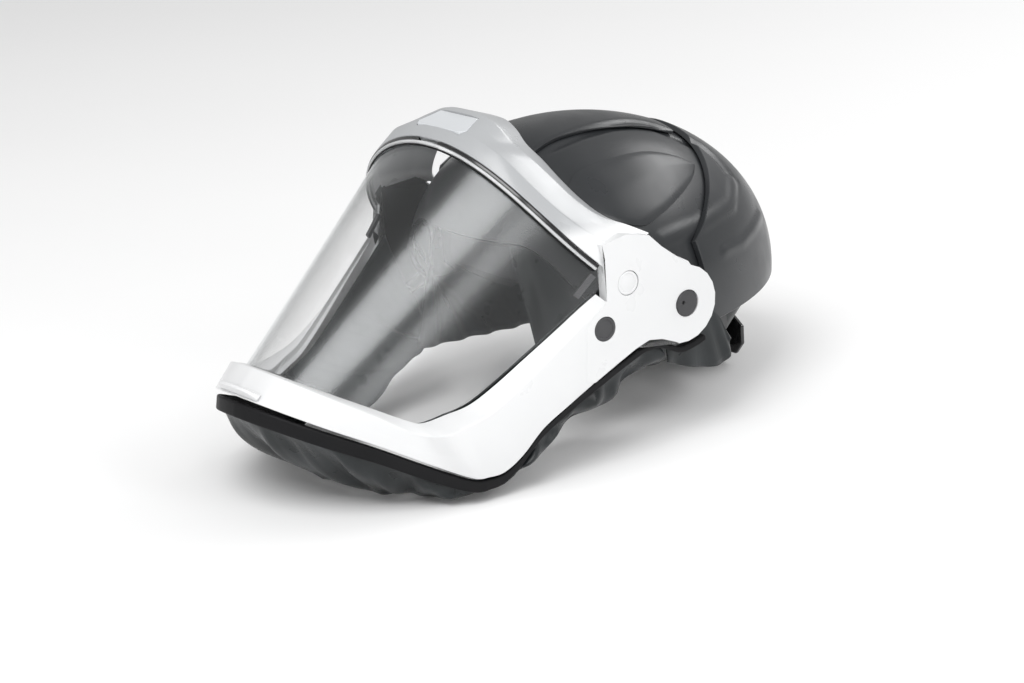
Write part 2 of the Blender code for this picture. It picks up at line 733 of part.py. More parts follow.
def helmet_shell(finish):
    turns = 56
    rises = 14
    bm = bmesh.new()
    layers = []
    for off in (0.0, -SHELL_WALL):
        rows = []
        for i in range(rises):
            share = i / rises
            row = []
            for k in range(turns):
                turn = 360.0 * k / turns
                start = rise_at(turn, rim_height(turn))
                row.append(bm.verts.new(dome(turn, start + (90.0 - start) * share, off)))
            rows.append(row)
        rows.append([bm.verts.new(dome(0.0, 90.0, off))])
        layers.append(rows)
    for rows in layers:
        for i in range(rises - 1):
            for k in range(turns):
                j = (k + 1) % turns
                bm.faces.new((rows[i][k], rows[i][j], rows[i + 1][j], rows[i + 1][k]))
        for k in range(turns):
            j = (k + 1) % turns
            bm.faces.new((rows[rises - 1][k], rows[rises - 1][j], rows[rises][0]))
    for k in range(turns):
        j = (k + 1) % turns
        bm.faces.new((layers[0][0][k], layers[0][0][j], layers[1][0][j], layers[1][0][k]))
    shell = add("helmet_shell", bm, finish)
    for sign in (1, -1):
        hole = round_cutter((sign * 104.0, 0, 0), (sign, 0, 0), PIN_RADIUS + GAP, 14.0)
        boolean(shell, hole, "DIFFERENCE")
    return shell


def patch(name, grid_point, rows, columns, low, high, finish):
    """Raised cover on the dome: grid_point(u, v, off) gives its points for u and v from 0 to 1."""
    layers = []
    for off in (high, low):
        layers.append([[grid_point(i / rows, j / columns, off) for j in range(columns + 1)]
                       for i in range(rows + 1)])
    return add(name, slab(*layers), finish)


def crown_cover(finish):
    """Raised strip over the duct, from the brow to the rear housing, wider towards the rear."""
    def point(u, v, off):
        y = -50.0 + 128.0 * u
        half = 27.0 - 3.0 * u + 4.0 * u ** 3
        return dome_from_top(half * (2.0 * v - 1.0), y, off)
    return patch("crown_cover", point, 16, 10, GAP, 3.6, finish)


def rear_edge(v):
    """Front edge of the rear housing, as turn and rise, for v from the left (0) to the right (1)."""
    across = abs(2.0 * v - 1.0)
    turn = 21.0 + 138.0 * v
    rise = 24.0 + 21.0 * (1.0 - across ** 1.5)
    return turn, rise


def rear_housing(finish):
    """Cover over the rear of the shell, from the rim up to the crown."""
    def point(u, v, off):
        turn, top = rear_edge(v)
        bottom = rise_at(turn, RIM_SIDE_Z + 1.0)
        return dome(turn, bottom + (top - bottom) * u, off)
    return patch("rear_housing", point, 12, 26, 0.8, 4.5, finish)


def side_panel(sign, name, finish):
    """Leaf shaped panel on the side of the shell."""
    upper = spline([(-42.0, 66.0), (-36.0, 74.0), (-12.0, 80.0), (20.0, 79.5), (50.0, 72.0), (68.0, 62.0)], 3)
    lower = spline([(-42.0, 64.0), (-26.0, 54.0), (-6.0, 49.0), (18.0, 51.0), (45.0, 55.0), (68.0, 60.5)], 3)

    def point(u, v, off):
        k = round(u * (len(upper) - 1))
        y = upper[k][0] + (lower[k][0] - upper[k][0]) * v
        z = upper[k][1] + (lower[k][1] - upper[k][1]) * v
        found = dome_from_side(y, z, off)
        return Vector((sign * found.x, found.y, found.z))
    return patch(name, point, len(upper) - 1, 6, GAP, 1.8, finish)


# ---------------------------------------------------------------- air path

def socket_axis():
    """Direction in which the hose leaves."""
    lean = math.radians(SOCKET_LEAN)
    return Vector((0.0, math.sin(lean), -math.cos(lean)))


def hose_socket(finish):
    """Inlet tube at the nape, with a collar above the ring."""
    collar = -RING_LENGTH - GAP
    profile = [(SOCKET_BORE, 0.0), (SOCKET_NECK, 0.0), (SOCKET_NECK, collar), (SOCKET_RADIUS, collar),
               (SOCKET_RADIUS, -SOCKET_LENGTH), (SOCKET_BORE, -SOCKET_LENGTH)]
    return add("hose_socket", moved(turned(profile, 36), SOCKET_END, socket_axis()), finish)


def lock_ring(finish):
    """Bayonet ring that turns on the socket, with grip ribs."""
    bm = bmesh.new()
    steps = 36
    bore = SOCKET_NECK + GAP
    rows = []
    for k in range(steps):
        angle = 2.0 * math.pi * k / steps
        outer = RING_RADIUS if k % 3 == 0 else RING_RADIUS - 1.0
        row = []
        for radius, z in ((bore, -RING_LENGTH), (outer, -RING_LENGTH), (outer, 0.0), (bore, 0.0)):
            row.append(bm.verts.new((radius * math.cos(angle), radius * math.sin(angle), z)))
        rows.append(row)
    for row, following in zip(rows, rows[1:] + rows[:1]):
        for i in range(4):
            j = (i + 1) % 4
            bm.faces.new((row[i], row[j], following[j], following[i]))
    return add("lock_ring", moved(bm, SOCKET_END, socket_axis()), finish)


def dome_strip(x, angle, off):
    """Point under the dome's middle strip: angle in degrees from the rear, over the crown."""
    a = math.radians(angle)
    direction = (0.0, math.cos(a), math.sin(a))
    narrow = math.sqrt(1.0 - (x / SHELL_HALF_WIDTH) ** 2)
    reach = shell_radius(direction) * narrow + off
    return Vector(SHELL_CENTRE) + Vector((x, direction[1] * reach, direction[2] * reach))


def air_duct(finish):
    """Flat duct inside the shell, open at both ends, from the inlet over the crown to the brow."""
    bm = bmesh.new()
    outer = []
    inner = []
    steps = 20
    for k in range(steps + 1):
        angle = DUCT_REAR_ANGLE + (DUCT_FRONT_ANGLE - DUCT_REAR_ANGLE) * k / steps
        flare = 22.0 * max(1.0 - k / 4.0, 0.0) ** 2
        top = -SHELL_WALL - 2.0
        floor = top - DUCT_HEIGHT - flare
        for rows, wall in ((outer, 0.0), (inner, DUCT_WALL)):
            half = DUCT_HALF_WIDTH - wall
            ring = [(-half, top - wall), (half, top - wall), (half, floor + wall), (-half, floor + wall)]
            rows.append([bm.verts.new(dome_strip(x, angle, off)) for x, off in ring])
    for rows in (outer, inner):
        for row, following in zip(rows, rows[1:]):
            for i in range(4):
                j = (i + 1) % 4
                bm.faces.new((row[i], row[j], following[j], following[i]))
    for k in (0, -1):
        for i in range(4):
            j = (i + 1) % 4
            bm.faces.new((outer[k][i], outer[k][j], inner[k][j], inner[k][i]))
    return add("air_duct", bm, finish)


# ---------------------------------------------------------------- head harness

def band_point(turn, off, z_off):
    """Point of the headband: turn from the left through the rear, off outwards, z_off up."""
    t = math.radians(turn)
    length = BAND_REAR if math.sin(t) > 0.0 else BAND_FRONT
    x = (BAND_HALF_WIDTH + off) * math.cos(t)
    y = BAND_Y + (length + off) * math.sin(t)
    low = 0.5 + 0.5 * math.sin(t)
    return Vector((x, y, BAND_Z - BAND_DROP * low + z_off))


def band(name, start, end, height, wall, off, finish):
    """Stretch of the headband from one turn to another."""
    rings = []
    steps = 24
    half = height / 2.0
    for k in range(steps + 1):
        turn = start + (end - start) * k / steps
        rings.append([band_point(turn, off, -half), band_point(turn, off + wall, -half),
                      band_point(turn, off + wall, half), band_point(turn, off, half)])
    return add(name, loft(rings), finish)


def rack(sign, name, finish):
    """Rear strap of the headband. Its tongue runs over or under the pinion at the nape."""
    rings = []
    steps = 26
    for k in range(steps + 1):
        turn = RACK_START + (RACK_END - RACK_START) * k / steps
        ease = min(max((turn - 48.0) / 22.0, 0.0), 1.0)
        half = RACK_HALF_HEIGHT - (RACK_HALF_HEIGHT - TONGUE_HALF_HEIGHT) * ease
        rise = sign * TONGUE_RISE * ease
        ring = [band_point(turn, 0.0, rise - half), band_point(turn, BAND_WALL, rise - half),
                band_point(turn, BAND_WALL, rise + half), band_point(turn, 0.0, rise + half)]
        rings.append(ring if sign > 0 else mirrored(ring))
    return add(name, loft(rings), finish)


def band_tangent(turn):
    """Level direction of the headband at a turn."""
    step = band_point(turn + 1.0, 0.0, 0.0) - band_point(turn - 1.0, 0.0, 0.0)
    return Vector((step.x, step.y, 0.0)).normalized()


def crown_strap(name, turn, top, finish):
    """Webbing over the head between two clips on opposite sides of the band."""
    steps = 16
    start = band_point(turn, BAND_WALL + 1.1, 10.0)
    end = mirrored([start])[0]
    edge = band_tangent(turn)
    points = []
    for k in range(steps + 1):
        angle = math.pi * k / steps
        x = start.x * math.cos(angle)
        points.append(Vector((x, start.y, start.z + (top - start.z) * math.sin(angle))))
    points[-1] = end
    rings = []
    for k, point in enumerate(points):
        across = 2.0 * k / steps - 1.0
        width = Vector((-edge.x * across, edge.y, 0.0)).lerp(Vector((0.0, 1.0, 0.0)), 1.0 - across ** 2)
        width = width.normalized() * STRAP_WIDTH / 2.0
        path = points[min(k + 1, steps)] - points[max(k - 1, 0)]
        if k in (0, steps):
            path = Vector((0.0, 0.0, 1.0 if k == 0 else -1.0))
        out = width.cross(path).normalized() * STRAP_THICKNESS
        rings.append([point - width, point + width, point + width + out, point - width + out])
    return add(name, loft(rings), finish)


def harness(finishes):
    plastic = finishes["harness_plastic"]
    band("headband", -150.0, -30.0, BAND_HEIGHT, BAND_WALL, 0.0, plastic)
    band("sweatband", -145.0, -35.0, BAND_HEIGHT + 6.0, 4.0, -4.0 - GAP, finishes["foam"])
    rack(1, "rack_left", plastic)
    rack(-1, "rack_right", plastic)
    crown_strap("crown_strap_front", -38.0, 61.0, finishes["webbing"])
    crown_strap("crown_strap_rear", 30.0, 56.0, finishes["webbing"])
    for label, turn in (("front_left", -38.0), ("front_right", 218.0), ("rear_left", 30.0),
                        ("rear_right", 150.0)):
        middle = band_point(turn, 6.5, 6.0)
        along = band_tangent(turn)
        out = Vector((along.y, -along.x, 0.0))
        outline = []
        for a, b in ((-8, -1.5), (8, -1.5), (8, 1.5), (-8, 1.5)):
            outline.append(middle + along * a + out * b)
        made = add("harness_clip_" + label, prism(outline, (0, 0, -5), (0, 0, 9)), plastic)
        bevel(made, 0.8)


def plate(points, rear, start, end):
    """Upright plate of the size adjuster: outline in x and z round the pinion, from start to end in y."""
    outline = [Vector((x, rear.y, rear.z + z)) for x, z in points]
    return prism(outline, (0.0, start, 0.0), (0.0, end, 0.0))


def knurled(rear, steps, pattern, profile):
    """Knob or pinion behind the nape. profile gives (share of the radius, y) from axis to axis."""
    rings = []
    for k in range(steps):
        angle = 2.0 * math.pi * k / steps
        radius = pattern[k % len(pattern)]
        rings.append([(share * radius * math.cos(angle), y, share * radius * math.sin(angle))
                      for share, y in profile])
    return ribbed(rings, rear)


def ratchet(finishes):
    """Size adjuster at the nape: housing, cover, knob and the pinion that drives both racks."""
    rear = band_point(90.0, 0.0, 0.0)
    black = finishes["gloss_black"]
    wide = [(-36, -13), (36, -13), (42, -5), (42, 8), (34, 14), (-34, 14), (-42, 8), (-42, -5)]
    narrow = [(-18, -15), (18, -15), (23, -6), (23, 8), (17, 15), (-17, 15), (-23, 8), (-23, -6)]
    housing = add("ratchet_housing", plate(wide, rear, 4.0, 7.0), black)
    bevel(housing, 0.8)
    hole = round_cutter((0.0, rear.y + 6.0, rear.z), (0, 1, 0), PINION_RADIUS + 0.4, 8.0)
    boolean(housing, hole, "DIFFERENCE")
    cover = add("ratchet_cover", plate(narrow, rear, -14.0, -11.5), black)
    bevel(cover, 0.8)
    add("nape_pad", plate(narrow, rear, -20.0, -14.3), finishes["foam"])
    knob = [(0.0, 7.6), (1.0, 7.6), (1.0, 14.0), (0.86, 17.0), (0.0, 17.0)]
    add("ratchet_knob", knurled(rear, 48, (KNOB_RADIUS, KNOB_RADIUS, KNOB_RADIUS - 1.2, KNOB_RADIUS - 1.2),
                                knob), black)
    shaft = [(0.0, -5.0), (1.0, -5.0), (1.0, 7.3), (0.0, 7.3)]
    teeth = (PINION_RADIUS, PINION_RADIUS, PINION_RADIUS - 1.0, PINION_RADIUS - 1.0)
    add("pinion", knurled(rear, 32, teeth, shaft), finishes["harness_plastic"])


def ribbed(rings, centre):
    """Round solid whose outline changes with the angle. Each ring starts and ends on the axis."""
    bm = bmesh.new()
    first = bm.verts.new(Vector(rings[0][0]) + centre)
    last = bm.verts.new(Vector(rings[0][-1]) + centre)
    rows = []
    for ring in rings:
        rows.append([first] + [bm.verts.new(Vector(p) + centre) for p in ring[1:-1]] + [last])
    for row, following in zip(rows, rows[1:] + rows[:1]):
        for i in range(len(row) - 1):
            corners = []
            for vertex in (row[i], row[i + 1], following[i + 1], following[i]):
                if vertex not in corners:
                    corners.append(vertex)
            bm.faces.new(corners)
    return bm


# ---------------------------------------------------------------- assembly

def main():
    for existing in list(bpy.data.objects):
        bpy.data.objects.remove(existing)
    material("guide", (0.5, 0.5, 0.5), 0.5)
    finishes = {
        "white_plastic": material("white_plastic", (0.86, 0.86, 0.86), 0.35),
        "shell_grey": material("shell_grey", (0.09, 0.095, 0.10), 0.4),
        "dark_plastic": material("dark_plastic", (0.07, 0.07, 0.075), 0.5),
        "gloss_black": material("gloss_black", (0.02, 0.02, 0.022), 0.2),
        "harness_plastic": material("harness_plastic", (0.05, 0.05, 0.055), 0.5),
        "clear": material("clear", (0.95, 0.97, 0.98), 0.05, alpha=0.3),
        "rubber": material("rubber", (0.03, 0.03, 0.033), 0.7),
        "fabric": material("fabric", (0.04, 0.042, 0.05), 0.85),
        "foam": material("foam", (0.06, 0.06, 0.065), 0.9),
        "webbing": material("webbing", (0.05, 0.05, 0.055), 0.8),
        "steel": material("steel", (0.6, 0.6, 0.6), 0.3, metallic=1.0),
    }
    white = finishes["white_plastic"]
    visor_frame(white)
    badge_solid("brow_badge", 0.0, -2.2, 0.8, white)
    lens_solid("visor_lens", 0.0, finishes["clear"])
    lens_rim(finishes["clear"])
    for sign, label in ((1, "left"), (-1, "right")):
        lens_clip(sign, "lens_clip_" + label, finishes["dark_plastic"])
        ear_flap(sign, "ear_flap_" + label, finishes["fabric"])
        side_panel(sign, "side_panel_" + label, finishes["shell_grey"])
    pivot_parts(finishes)
    seal_rail(finishes["rubber"])
    face_seal(finishes["fabric"])
    inner_seal(finishes["fabric"])
    chin_tab(white)
    helmet_shell(finishes["shell_grey"])
    crown_cover(finishes["shell_grey"])
    rear_housing(finishes["shell_grey"])
    hose_socket(finishes["dark_plastic"])
    lock_ring(finishes["gloss_black"])
    air_duct(finishes["harness_plastic"])
    harness(finishes)
    ratchet(finishes)


main()
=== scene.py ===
import json
import math

import bmesh
import bpy
from mathutils import Matrix, Vector


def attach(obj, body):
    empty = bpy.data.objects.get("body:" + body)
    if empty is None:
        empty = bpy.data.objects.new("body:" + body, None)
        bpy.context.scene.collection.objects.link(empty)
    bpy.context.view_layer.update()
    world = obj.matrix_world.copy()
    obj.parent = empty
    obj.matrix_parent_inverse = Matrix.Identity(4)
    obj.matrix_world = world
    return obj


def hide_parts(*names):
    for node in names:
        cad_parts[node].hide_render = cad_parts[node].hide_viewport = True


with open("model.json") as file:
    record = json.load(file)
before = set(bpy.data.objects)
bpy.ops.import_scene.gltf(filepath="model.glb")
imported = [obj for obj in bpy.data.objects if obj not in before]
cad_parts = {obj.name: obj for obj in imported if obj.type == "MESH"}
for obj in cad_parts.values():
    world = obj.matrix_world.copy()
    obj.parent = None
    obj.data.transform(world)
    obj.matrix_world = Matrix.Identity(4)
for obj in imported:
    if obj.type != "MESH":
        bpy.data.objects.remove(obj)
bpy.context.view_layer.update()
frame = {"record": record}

# Studio, in metres and watts: name, place, width and height, and power of each area light.
FLOOR_HALF = 9.0
LIGHT_TARGET = (0.0, 0.0, 0.1)
SURROUND_LIGHT = 0.50
LIGHTS = (
    ("key", (0.5, -1.1, 1.9), (1.2, 1.2), 25.0),
    ("left_soft", (2.0, 0.2, 0.9), (0.5, 1.6), 11.0),
    ("front_soft", (-0.9, -2.0, 0.9), (1.4, 1.4), 7.0),
    ("lens_strip", (1.09, -0.63, 1.08), (0.2, 0.9), 2.0),
    ("rear_soft", (0.3, 1.9, 1.3), (1.8, 0.5), 16.0),
)

# Camera, in millimetres from the pivot, looking down and back over the wearer's left cheek.
CAMERA_PLACE = (1311.89, -1143.23, 545.14)
CAMERA_RIGHT = (0.65606, 0.75249, -0.05790)
CAMERA_UP = (-0.20803, 0.25405, 0.94456)
CAMERA_BACK = (0.72547, -0.60764, 0.32321)
CAMERA_LENS = 98.44

MM = 0.001
PIVOT_Y = 50.2            # pivot axis behind the centre of the footprint
PIVOT_Z = 91.1            # pivot axis above the resting surface
GAP = 0.3                 # clearance between touching pieces

# Lens: an elliptic cone. phi goes round it, w runs down the slope, h stands off its face.
LENS_TILT = 44.4
LENS_HALF_WIDTH = 128.0
LENS_DEPTH = 156.5
LENS_SETBACK = -10.5
LENS_WIDTH_TAPER = -0.19
LENS_DEPTH_TAPER = 0.12
LENS_THICKNESS = 1.5
LENS_TOP = (-3.2, 46.0, -23.0)      # height of the top edge: constant, square and fourth power
LENS_TOP_PHI = 62.0
LENS_CORNER_PHI = 50.5
CHIN_W = 171.0
CHIN_DROP = 0.0068                  # how the chin edge rises with phi squared
CHIN_OUTER_W = 195.0                # the chin bar's outer edge, and how it rises
CHIN_OUTER_DROP = 0.0079
LENS_EDGE = ((45.5, 157.3), (49.3, 153.5), (52.4, 142.0), (55.4, 129.0), (57.3, 110.0),
             (58.8, 88.0), (60.3, 66.0), (61.6, 45.0), (62.6, 32.0))    # phi, w up the strut
LENS_MARGIN = 3.0                   # width of lens under the frame's lip
LENS_CORNER_CUT = 2.0               # how much narrower its upper corners are, in degrees

# Side of the visor frame: a flat face that leans in towards the front.
SIDE_X = 118.0
SIDE_SLOPE = 0.117
SIDE_RIDGE = (((-180.0, -40.5), (-163.5, -72.6)), ((-166.0, -38.5), (-152.0, -75.0)),
              ((-149.0, -35.0), (-140.5, -74.6)), ((-131.0, -27.0), (-127.0, -67.5)),
              ((-111.5, -16.0), (-111.0, -54.3)), ((-91.0, -3.5), (-92.0, -44.6)),
              ((-73.0, 7.0), (-72.0, -34.8)), ((-60.0, 14.0), (-56.0, -27.0)))   # y, z of both edges
FRAME_WALL = 5.0
ARM_THICKNESS = 6.4
ARM_RADIUS = 25.0
ARM_PROUD = 0.2                     # the arm stands proud of the strut's side face
RAIL_THICKNESS = 5.0
RAIL_DROP = 1.1                     # gap between the frame and the rail
SEAL_SETBACK = 9.0                  # how far behind the lens the inner seal starts
SEAL_SAG = 5.0
SEAL_BELLY = 9.0                    # how far the fabric bulges out under the chin

# Helmet shell: a dome on two half ellipsoids.
SHELL_CENTRE = (0.0, -7.0, -17.0)
SHELL_HALF_WIDTH = 103.5
SHELL_REAR = 167.0
SHELL_FRONT = 84.0
SHELL_HEIGHT = 114.5
SHELL_FRONT_POWER = 2.6
SHELL_WALL = 3.0
RIM_FRONT_Z = 42.0
RIM_SIDE_Z = -25.0

CAP_RADIUS = 8.4
PLUG_RADIUS = 7.6
PORT_PLACE = (-62.8, -2.0)          # y, z of the dark port plug
ROUND_PLACE = (-44.0, 23.2)         # y, z of the white plug

# Head harness: an egg shaped band round the head.
BAND_HALF_WIDTH = 83.0
BAND_FRONT = 82.0
BAND_REAR = 106.0
BAND_Y = 12.0
BAND_Z = 30.0
BAND_DROP = 102.0                   # how far the band sinks from the forehead to the nape
BAND_WALL = 2.0
STRAP_WIDTH = 18.0
KNOB_RADIUS = 19.0
STRAP_THICKNESS = 1.4

# Detail of the finished pieces.
FINE = 6                            # steps between the stations of a loft
EDGE_RADIUS = 1.1                   # rounding of the frame's long edges
LENS_ROWS = 24
LENS_COLUMNS = 96
DOME_TURNS = 300
DOME_RISES = 90
LENS_GLOSS = 0.045                  # share of light that each face of the lens mirrors, seen face on
# Painted shade: the light grey painted on the brow band in place of the shading of its white moulding, and
# the heights where it fades in.
BROW_PAINTED_SHADE = (0.40, 0.41, 0.42)
BROW_SHADE_LOW = 0.146               # height in metres where the painted shade on the brow band starts
BROW_SHADE_HIGH = 0.156
FABRIC_WALL = 1.2
CURTAIN_TURNS = (-62.0, 56.0)       # where the neck curtains start and end round the shell
HEM_WAVE = 2.2                      # how far the face seal's hem rises between folds
INSERT_START = 4.0                  # where the dark insert of the lip starts, in degrees from the middle

# Lines pressed into the left half of the shell (mirrored on the right), with half width and depth.
SHELL_LINES = (
    (((32, -49, 92), (32, -31, 94), (30, -3, 96), (27, 26, 95), (24, 46, 92), (24, 63, 87),
      (34, 80, 77), (40, 92, 68), (49, 96, 59), (56, 98, 51.5)), 3.2, -2.0),
    (((49, -45, 84), (45, -26, 89), (43, 2, 91), (42, 37, 87), (40, 61, 81)), 1.2, -0.8),
    (((62, 97, 46), (77, 80, 37), (89, 41.5, 35), (94, 6, 35)), 4.0, 1.2),
    (((56, 108.5, 43), (63.5, 101, 40), (76, 82, 37), (85, 59, 35), (92, 35, 33), (95, 18, 30),
      (99, 22, 17), (99.6, 34, 7)), 1.1, -1.2),
    (((62, 122, 18), (75, 102, 16), (86, 79.5, 13.5), (93.5, 56, 15)), 3.0, 1.4),
    (((21, 57, 92), (25.5, 71, 86), (36.5, 87, 75), (45, 96, 65), (52, 105, 53), (58, 106, 46)), 1.0, -0.8),
)
LEAF_UPPER = ((-44, 68), (-39, 73), (-29, 79), (-13, 81), (14, 81), (36, 78), (56, 71), (67, 64))
LEAF_LOWER = ((-44, 66), (-30, 55), (-6, 45.5), (15, 48.5), (33, 52.5), (48, 56), (58, 58.5), (67, 62))
SHELL_CHAINS = [([Vector(p) for p in points], half, depth) for points, half, depth in SHELL_LINES]

# Finishes: name, dark and light shade, least and most roughness, size and strength of the grain, and then
# the gloss coat and the specular level where they differ from the usual.
PLASTICS = {
    "white": ("white_moulding", (0.72, 0.725, 0.73), (0.77, 0.775, 0.78), 0.28, 0.36, 1500.0, 0.03, 0.2),
    "badge": ("badge_moulding", (0.58, 0.60, 0.62), (0.64, 0.66, 0.68), 0.16, 0.24, 1500.0, 0.03, 0.4),
    "shell": ("shell_moulding", (0.024, 0.026, 0.028), (0.034, 0.036, 0.039), 0.26, 0.36, 1800.0,
              0.05, 0.0, 0.4),
    "dark": ("dark_moulding", (0.040, 0.040, 0.043), (0.052, 0.052, 0.055), 0.40, 0.52, 2600.0, 0.15),
    "gloss": ("gloss_moulding", (0.004, 0.004, 0.0045), (0.008, 0.008, 0.0088), 0.10, 0.2, 900.0,
              0.03, 0.5),
    "harness": ("harness_moulding", (0.016, 0.016, 0.018), (0.026, 0.026, 0.028), 0.40, 0.55, 2000.0, 0.1),
    "rubber": ("rubber_bead", (0.004, 0.004, 0.0046), (0.008, 0.008, 0.009), 0.5, 0.65, 1800.0,
               0.15, 0.0, 0.2),
}
# Cloths: name, dark and light shade, thread pitch in metres, roughness, sheen and strength of the weave.
CLOTHS = {
    "fabric": ("coated_fabric", (0.011, 0.0128, 0.0135), (0.028, 0.032, 0.034), 0.0006, 0.30, 0.05, 0.10),
    "webbing": ("webbing_weave", (0.014, 0.014, 0.016), (0.026, 0.026, 0.029), 0.0014, 0.75, 0.1),
    "foam": ("foam_cover", (0.018, 0.018, 0.020), (0.030, 0.030, 0.033), 0.0009, 0.85, 0.12),
}


# ---------------------------------------------------------------- places and shapes

def place(point):
    """A point of the design frame, in metres above the resting surface."""
    return Vector((point[0] * MM, (point[1] + PIVOT_Y) * MM, (point[2] + PIVOT_Z) * MM))


def lens_axes():
    tilt = math.radians(LENS_TILT)
    out = Vector((0.0, -math.cos(tilt), math.sin(tilt)))
    down = Vector((0.0, -math.sin(tilt), -math.cos(tilt)))
    return out, down


def cone(phi, w, h=0.0):
    """Point on the lens cone: phi in degrees from the middle, w down the slope, h off the face."""
    out, down = lens_axes()
    a = LENS_HALF_WIDTH + LENS_WIDTH_TAPER * w
    b = LENS_DEPTH + LENS_DEPTH_TAPER * w
    s = math.sin(math.radians(phi))
    c = math.cos(math.radians(phi))
    face = Vector((a * s, 0.0, 0.0)) + out * (LENS_SETBACK + b * c) + down * w
    round_it = Vector((a * c, 0.0, 0.0)) - out * (b * s)
    along = Vector((LENS_WIDTH_TAPER * s, 0.0, 0.0)) + out * (LENS_DEPTH_TAPER * c) + down
    return face + along.cross(round_it).normalized() * h


def side(y, z, inset=0.0):
    """Point on the left side face of the visor frame, or inset mm inside it."""
    return Vector((SIDE_X + SIDE_SLOPE * y - inset, y, z))


def top_edge(phi):
    """Slope coordinate of the lens's top edge."""
    u = min(abs(phi) / LENS_TOP_PHI, 1.0)
    return LENS_TOP[0] + LENS_TOP[1] * u ** 2 + LENS_TOP[2] * u ** 4


def chin_edge(phi):
    """Slope coordinate of the lens's bottom edge."""
    return CHIN_W - CHIN_DROP * phi ** 2


def shell_radius(direction):
    """Distance from the dome's centre to its face along a unit direction."""
    x, y, z = direction
    front = y < 0.0
    power = SHELL_FRONT_POWER if front else 2.0
    length = SHELL_FRONT if front else SHELL_REAR
    total = abs(y / length) ** power
    round_part = (x / SHELL_HALF_WIDTH) ** 2 + (z / SHELL_HEIGHT) ** 2
    if not front:
        return 1.0 / math.sqrt(total + round_part)
    low, high = 10.0, 400.0
    for _ in range(40):
        middle = 0.5 * (low + high)
        if (middle ** power) * total + (middle ** 2) * round_part > 1.0:
            high = middle
        else:
            low = middle
    return 0.5 * (low + high)


def dome(turn, rise, off=0.0):
    """Point of the dome: turn in degrees from the left towards the rear, rise above the centre."""
    t = math.radians(turn)
    e = math.radians(rise)
    direction = (math.cos(e) * math.cos(t), math.cos(e) * math.sin(t), math.sin(e))
    return Vector(SHELL_CENTRE) + Vector(direction) * (shell_radius(direction) + off)


def length_share(dy):
    """Part of the dome's equation that its length takes up at dy behind its centre."""
    if dy < 0.0:
        return abs(dy / SHELL_FRONT) ** SHELL_FRONT_POWER
    return (dy / SHELL_REAR) ** 2


def off_dome(surface, off):
    """A point of the dome's face, moved off mm away from the dome's centre."""
    return surface + (surface - Vector(SHELL_CENTRE)).normalized() * off


def dome_from_side(y, z, off=0.0):
    """Point of the dome's left half at a given y and z."""
    dy = y - SHELL_CENTRE[1]
    dz = z - SHELL_CENTRE[2]
    rest = max(1.0 - length_share(dy) - (dz / SHELL_HEIGHT) ** 2, 0.0)
    return off_dome(Vector((SHELL_HALF_WIDTH * math.sqrt(rest), y, z)), off)


def dome_from_top(x, y, off=0.0):
    """Point of the dome straight above a given x and y."""
    dy = y - SHELL_CENTRE[1]
    rest = max(1.0 - length_share(dy) - (x / SHELL_HALF_WIDTH) ** 2, 0.0)
    return off_dome(Vector((x, y, SHELL_CENTRE[2] + SHELL_HEIGHT * math.sqrt(rest))), off)


def spline(points, count):
    """Smooth curve through points of any dimension, with count steps between neighbours."""
    result = []
    last = len(points) - 1
    for i in range(last):
        before = points[max(i - 1, 0)]
        start = points[i]
        end = points[i + 1]
        after = points[min(i + 2, last)]
        for k in range(count):
            t = k / count
            result.append(tuple(
                0.5 * (2 * b + (c - a) * t + (2 * a - 5 * b + 4 * c - d) * t ** 2
                       + (3 * b - a - 3 * c + d) * t ** 3)
                for a, b, c, d in zip(before, start, end, after)))
    result.append(tuple(points[last]))
    return result


def mirrored(points):
    """The same points on the wearer's right."""
    return [Vector((-p[0], p[1], p[2])) for p in points]


def loft(rings, closed=False):
    """Skin over rings of equal length. An open loft gets a cap on each end."""
    bm = bmesh.new()
    rows = [[bm.verts.new(p) for p in ring] for ring in rings]
    pairs = list(zip(rows, rows[1:]))
    if closed:
        pairs.append((rows[-1], rows[0]))
    for row, following in pairs:
        for i in range(len(row)):
            j = (i + 1) % len(row)
            bm.faces.new((row[i], row[j], following[j], following[i]))
    if not closed:
        for row in (rows[0], rows[-1]):
            cap = bm.faces.new(row)
            bmesh.ops.triangulate(bm, faces=[cap], ngon_method="EAR_CLIP")
    return bm


def slab(outer, inner):
    """Closed skin between two grids of the same size, such as the two faces of a sheet."""
    bm = bmesh.new()
    faces = []
    for grid in (outer, inner):
        faces.append([[bm.verts.new(p) for p in row] for row in grid])
    rows = len(outer)
    columns = len(outer[0])
    for grid in faces:
        for i in range(rows - 1):
            for j in range(columns - 1):
                bm.faces.new((grid[i][j], grid[i][j + 1], grid[i + 1][j + 1], grid[i + 1][j]))
    rim = [(0, j) for j in range(columns)]
    rim += [(i, columns - 1) for i in range(1, rows)]
    rim += [(rows - 1, j) for j in range(columns - 2, -1, -1)]
    rim += [(i, 0) for i in range(rows - 2, 0, -1)]
    for (a, b), (c, d) in zip(rim, rim[1:] + rim[:1]):
        bm.faces.new((faces[0][a][b], faces[0][c][d], faces[1][c][d], faces[1][a][b]))
    return bm


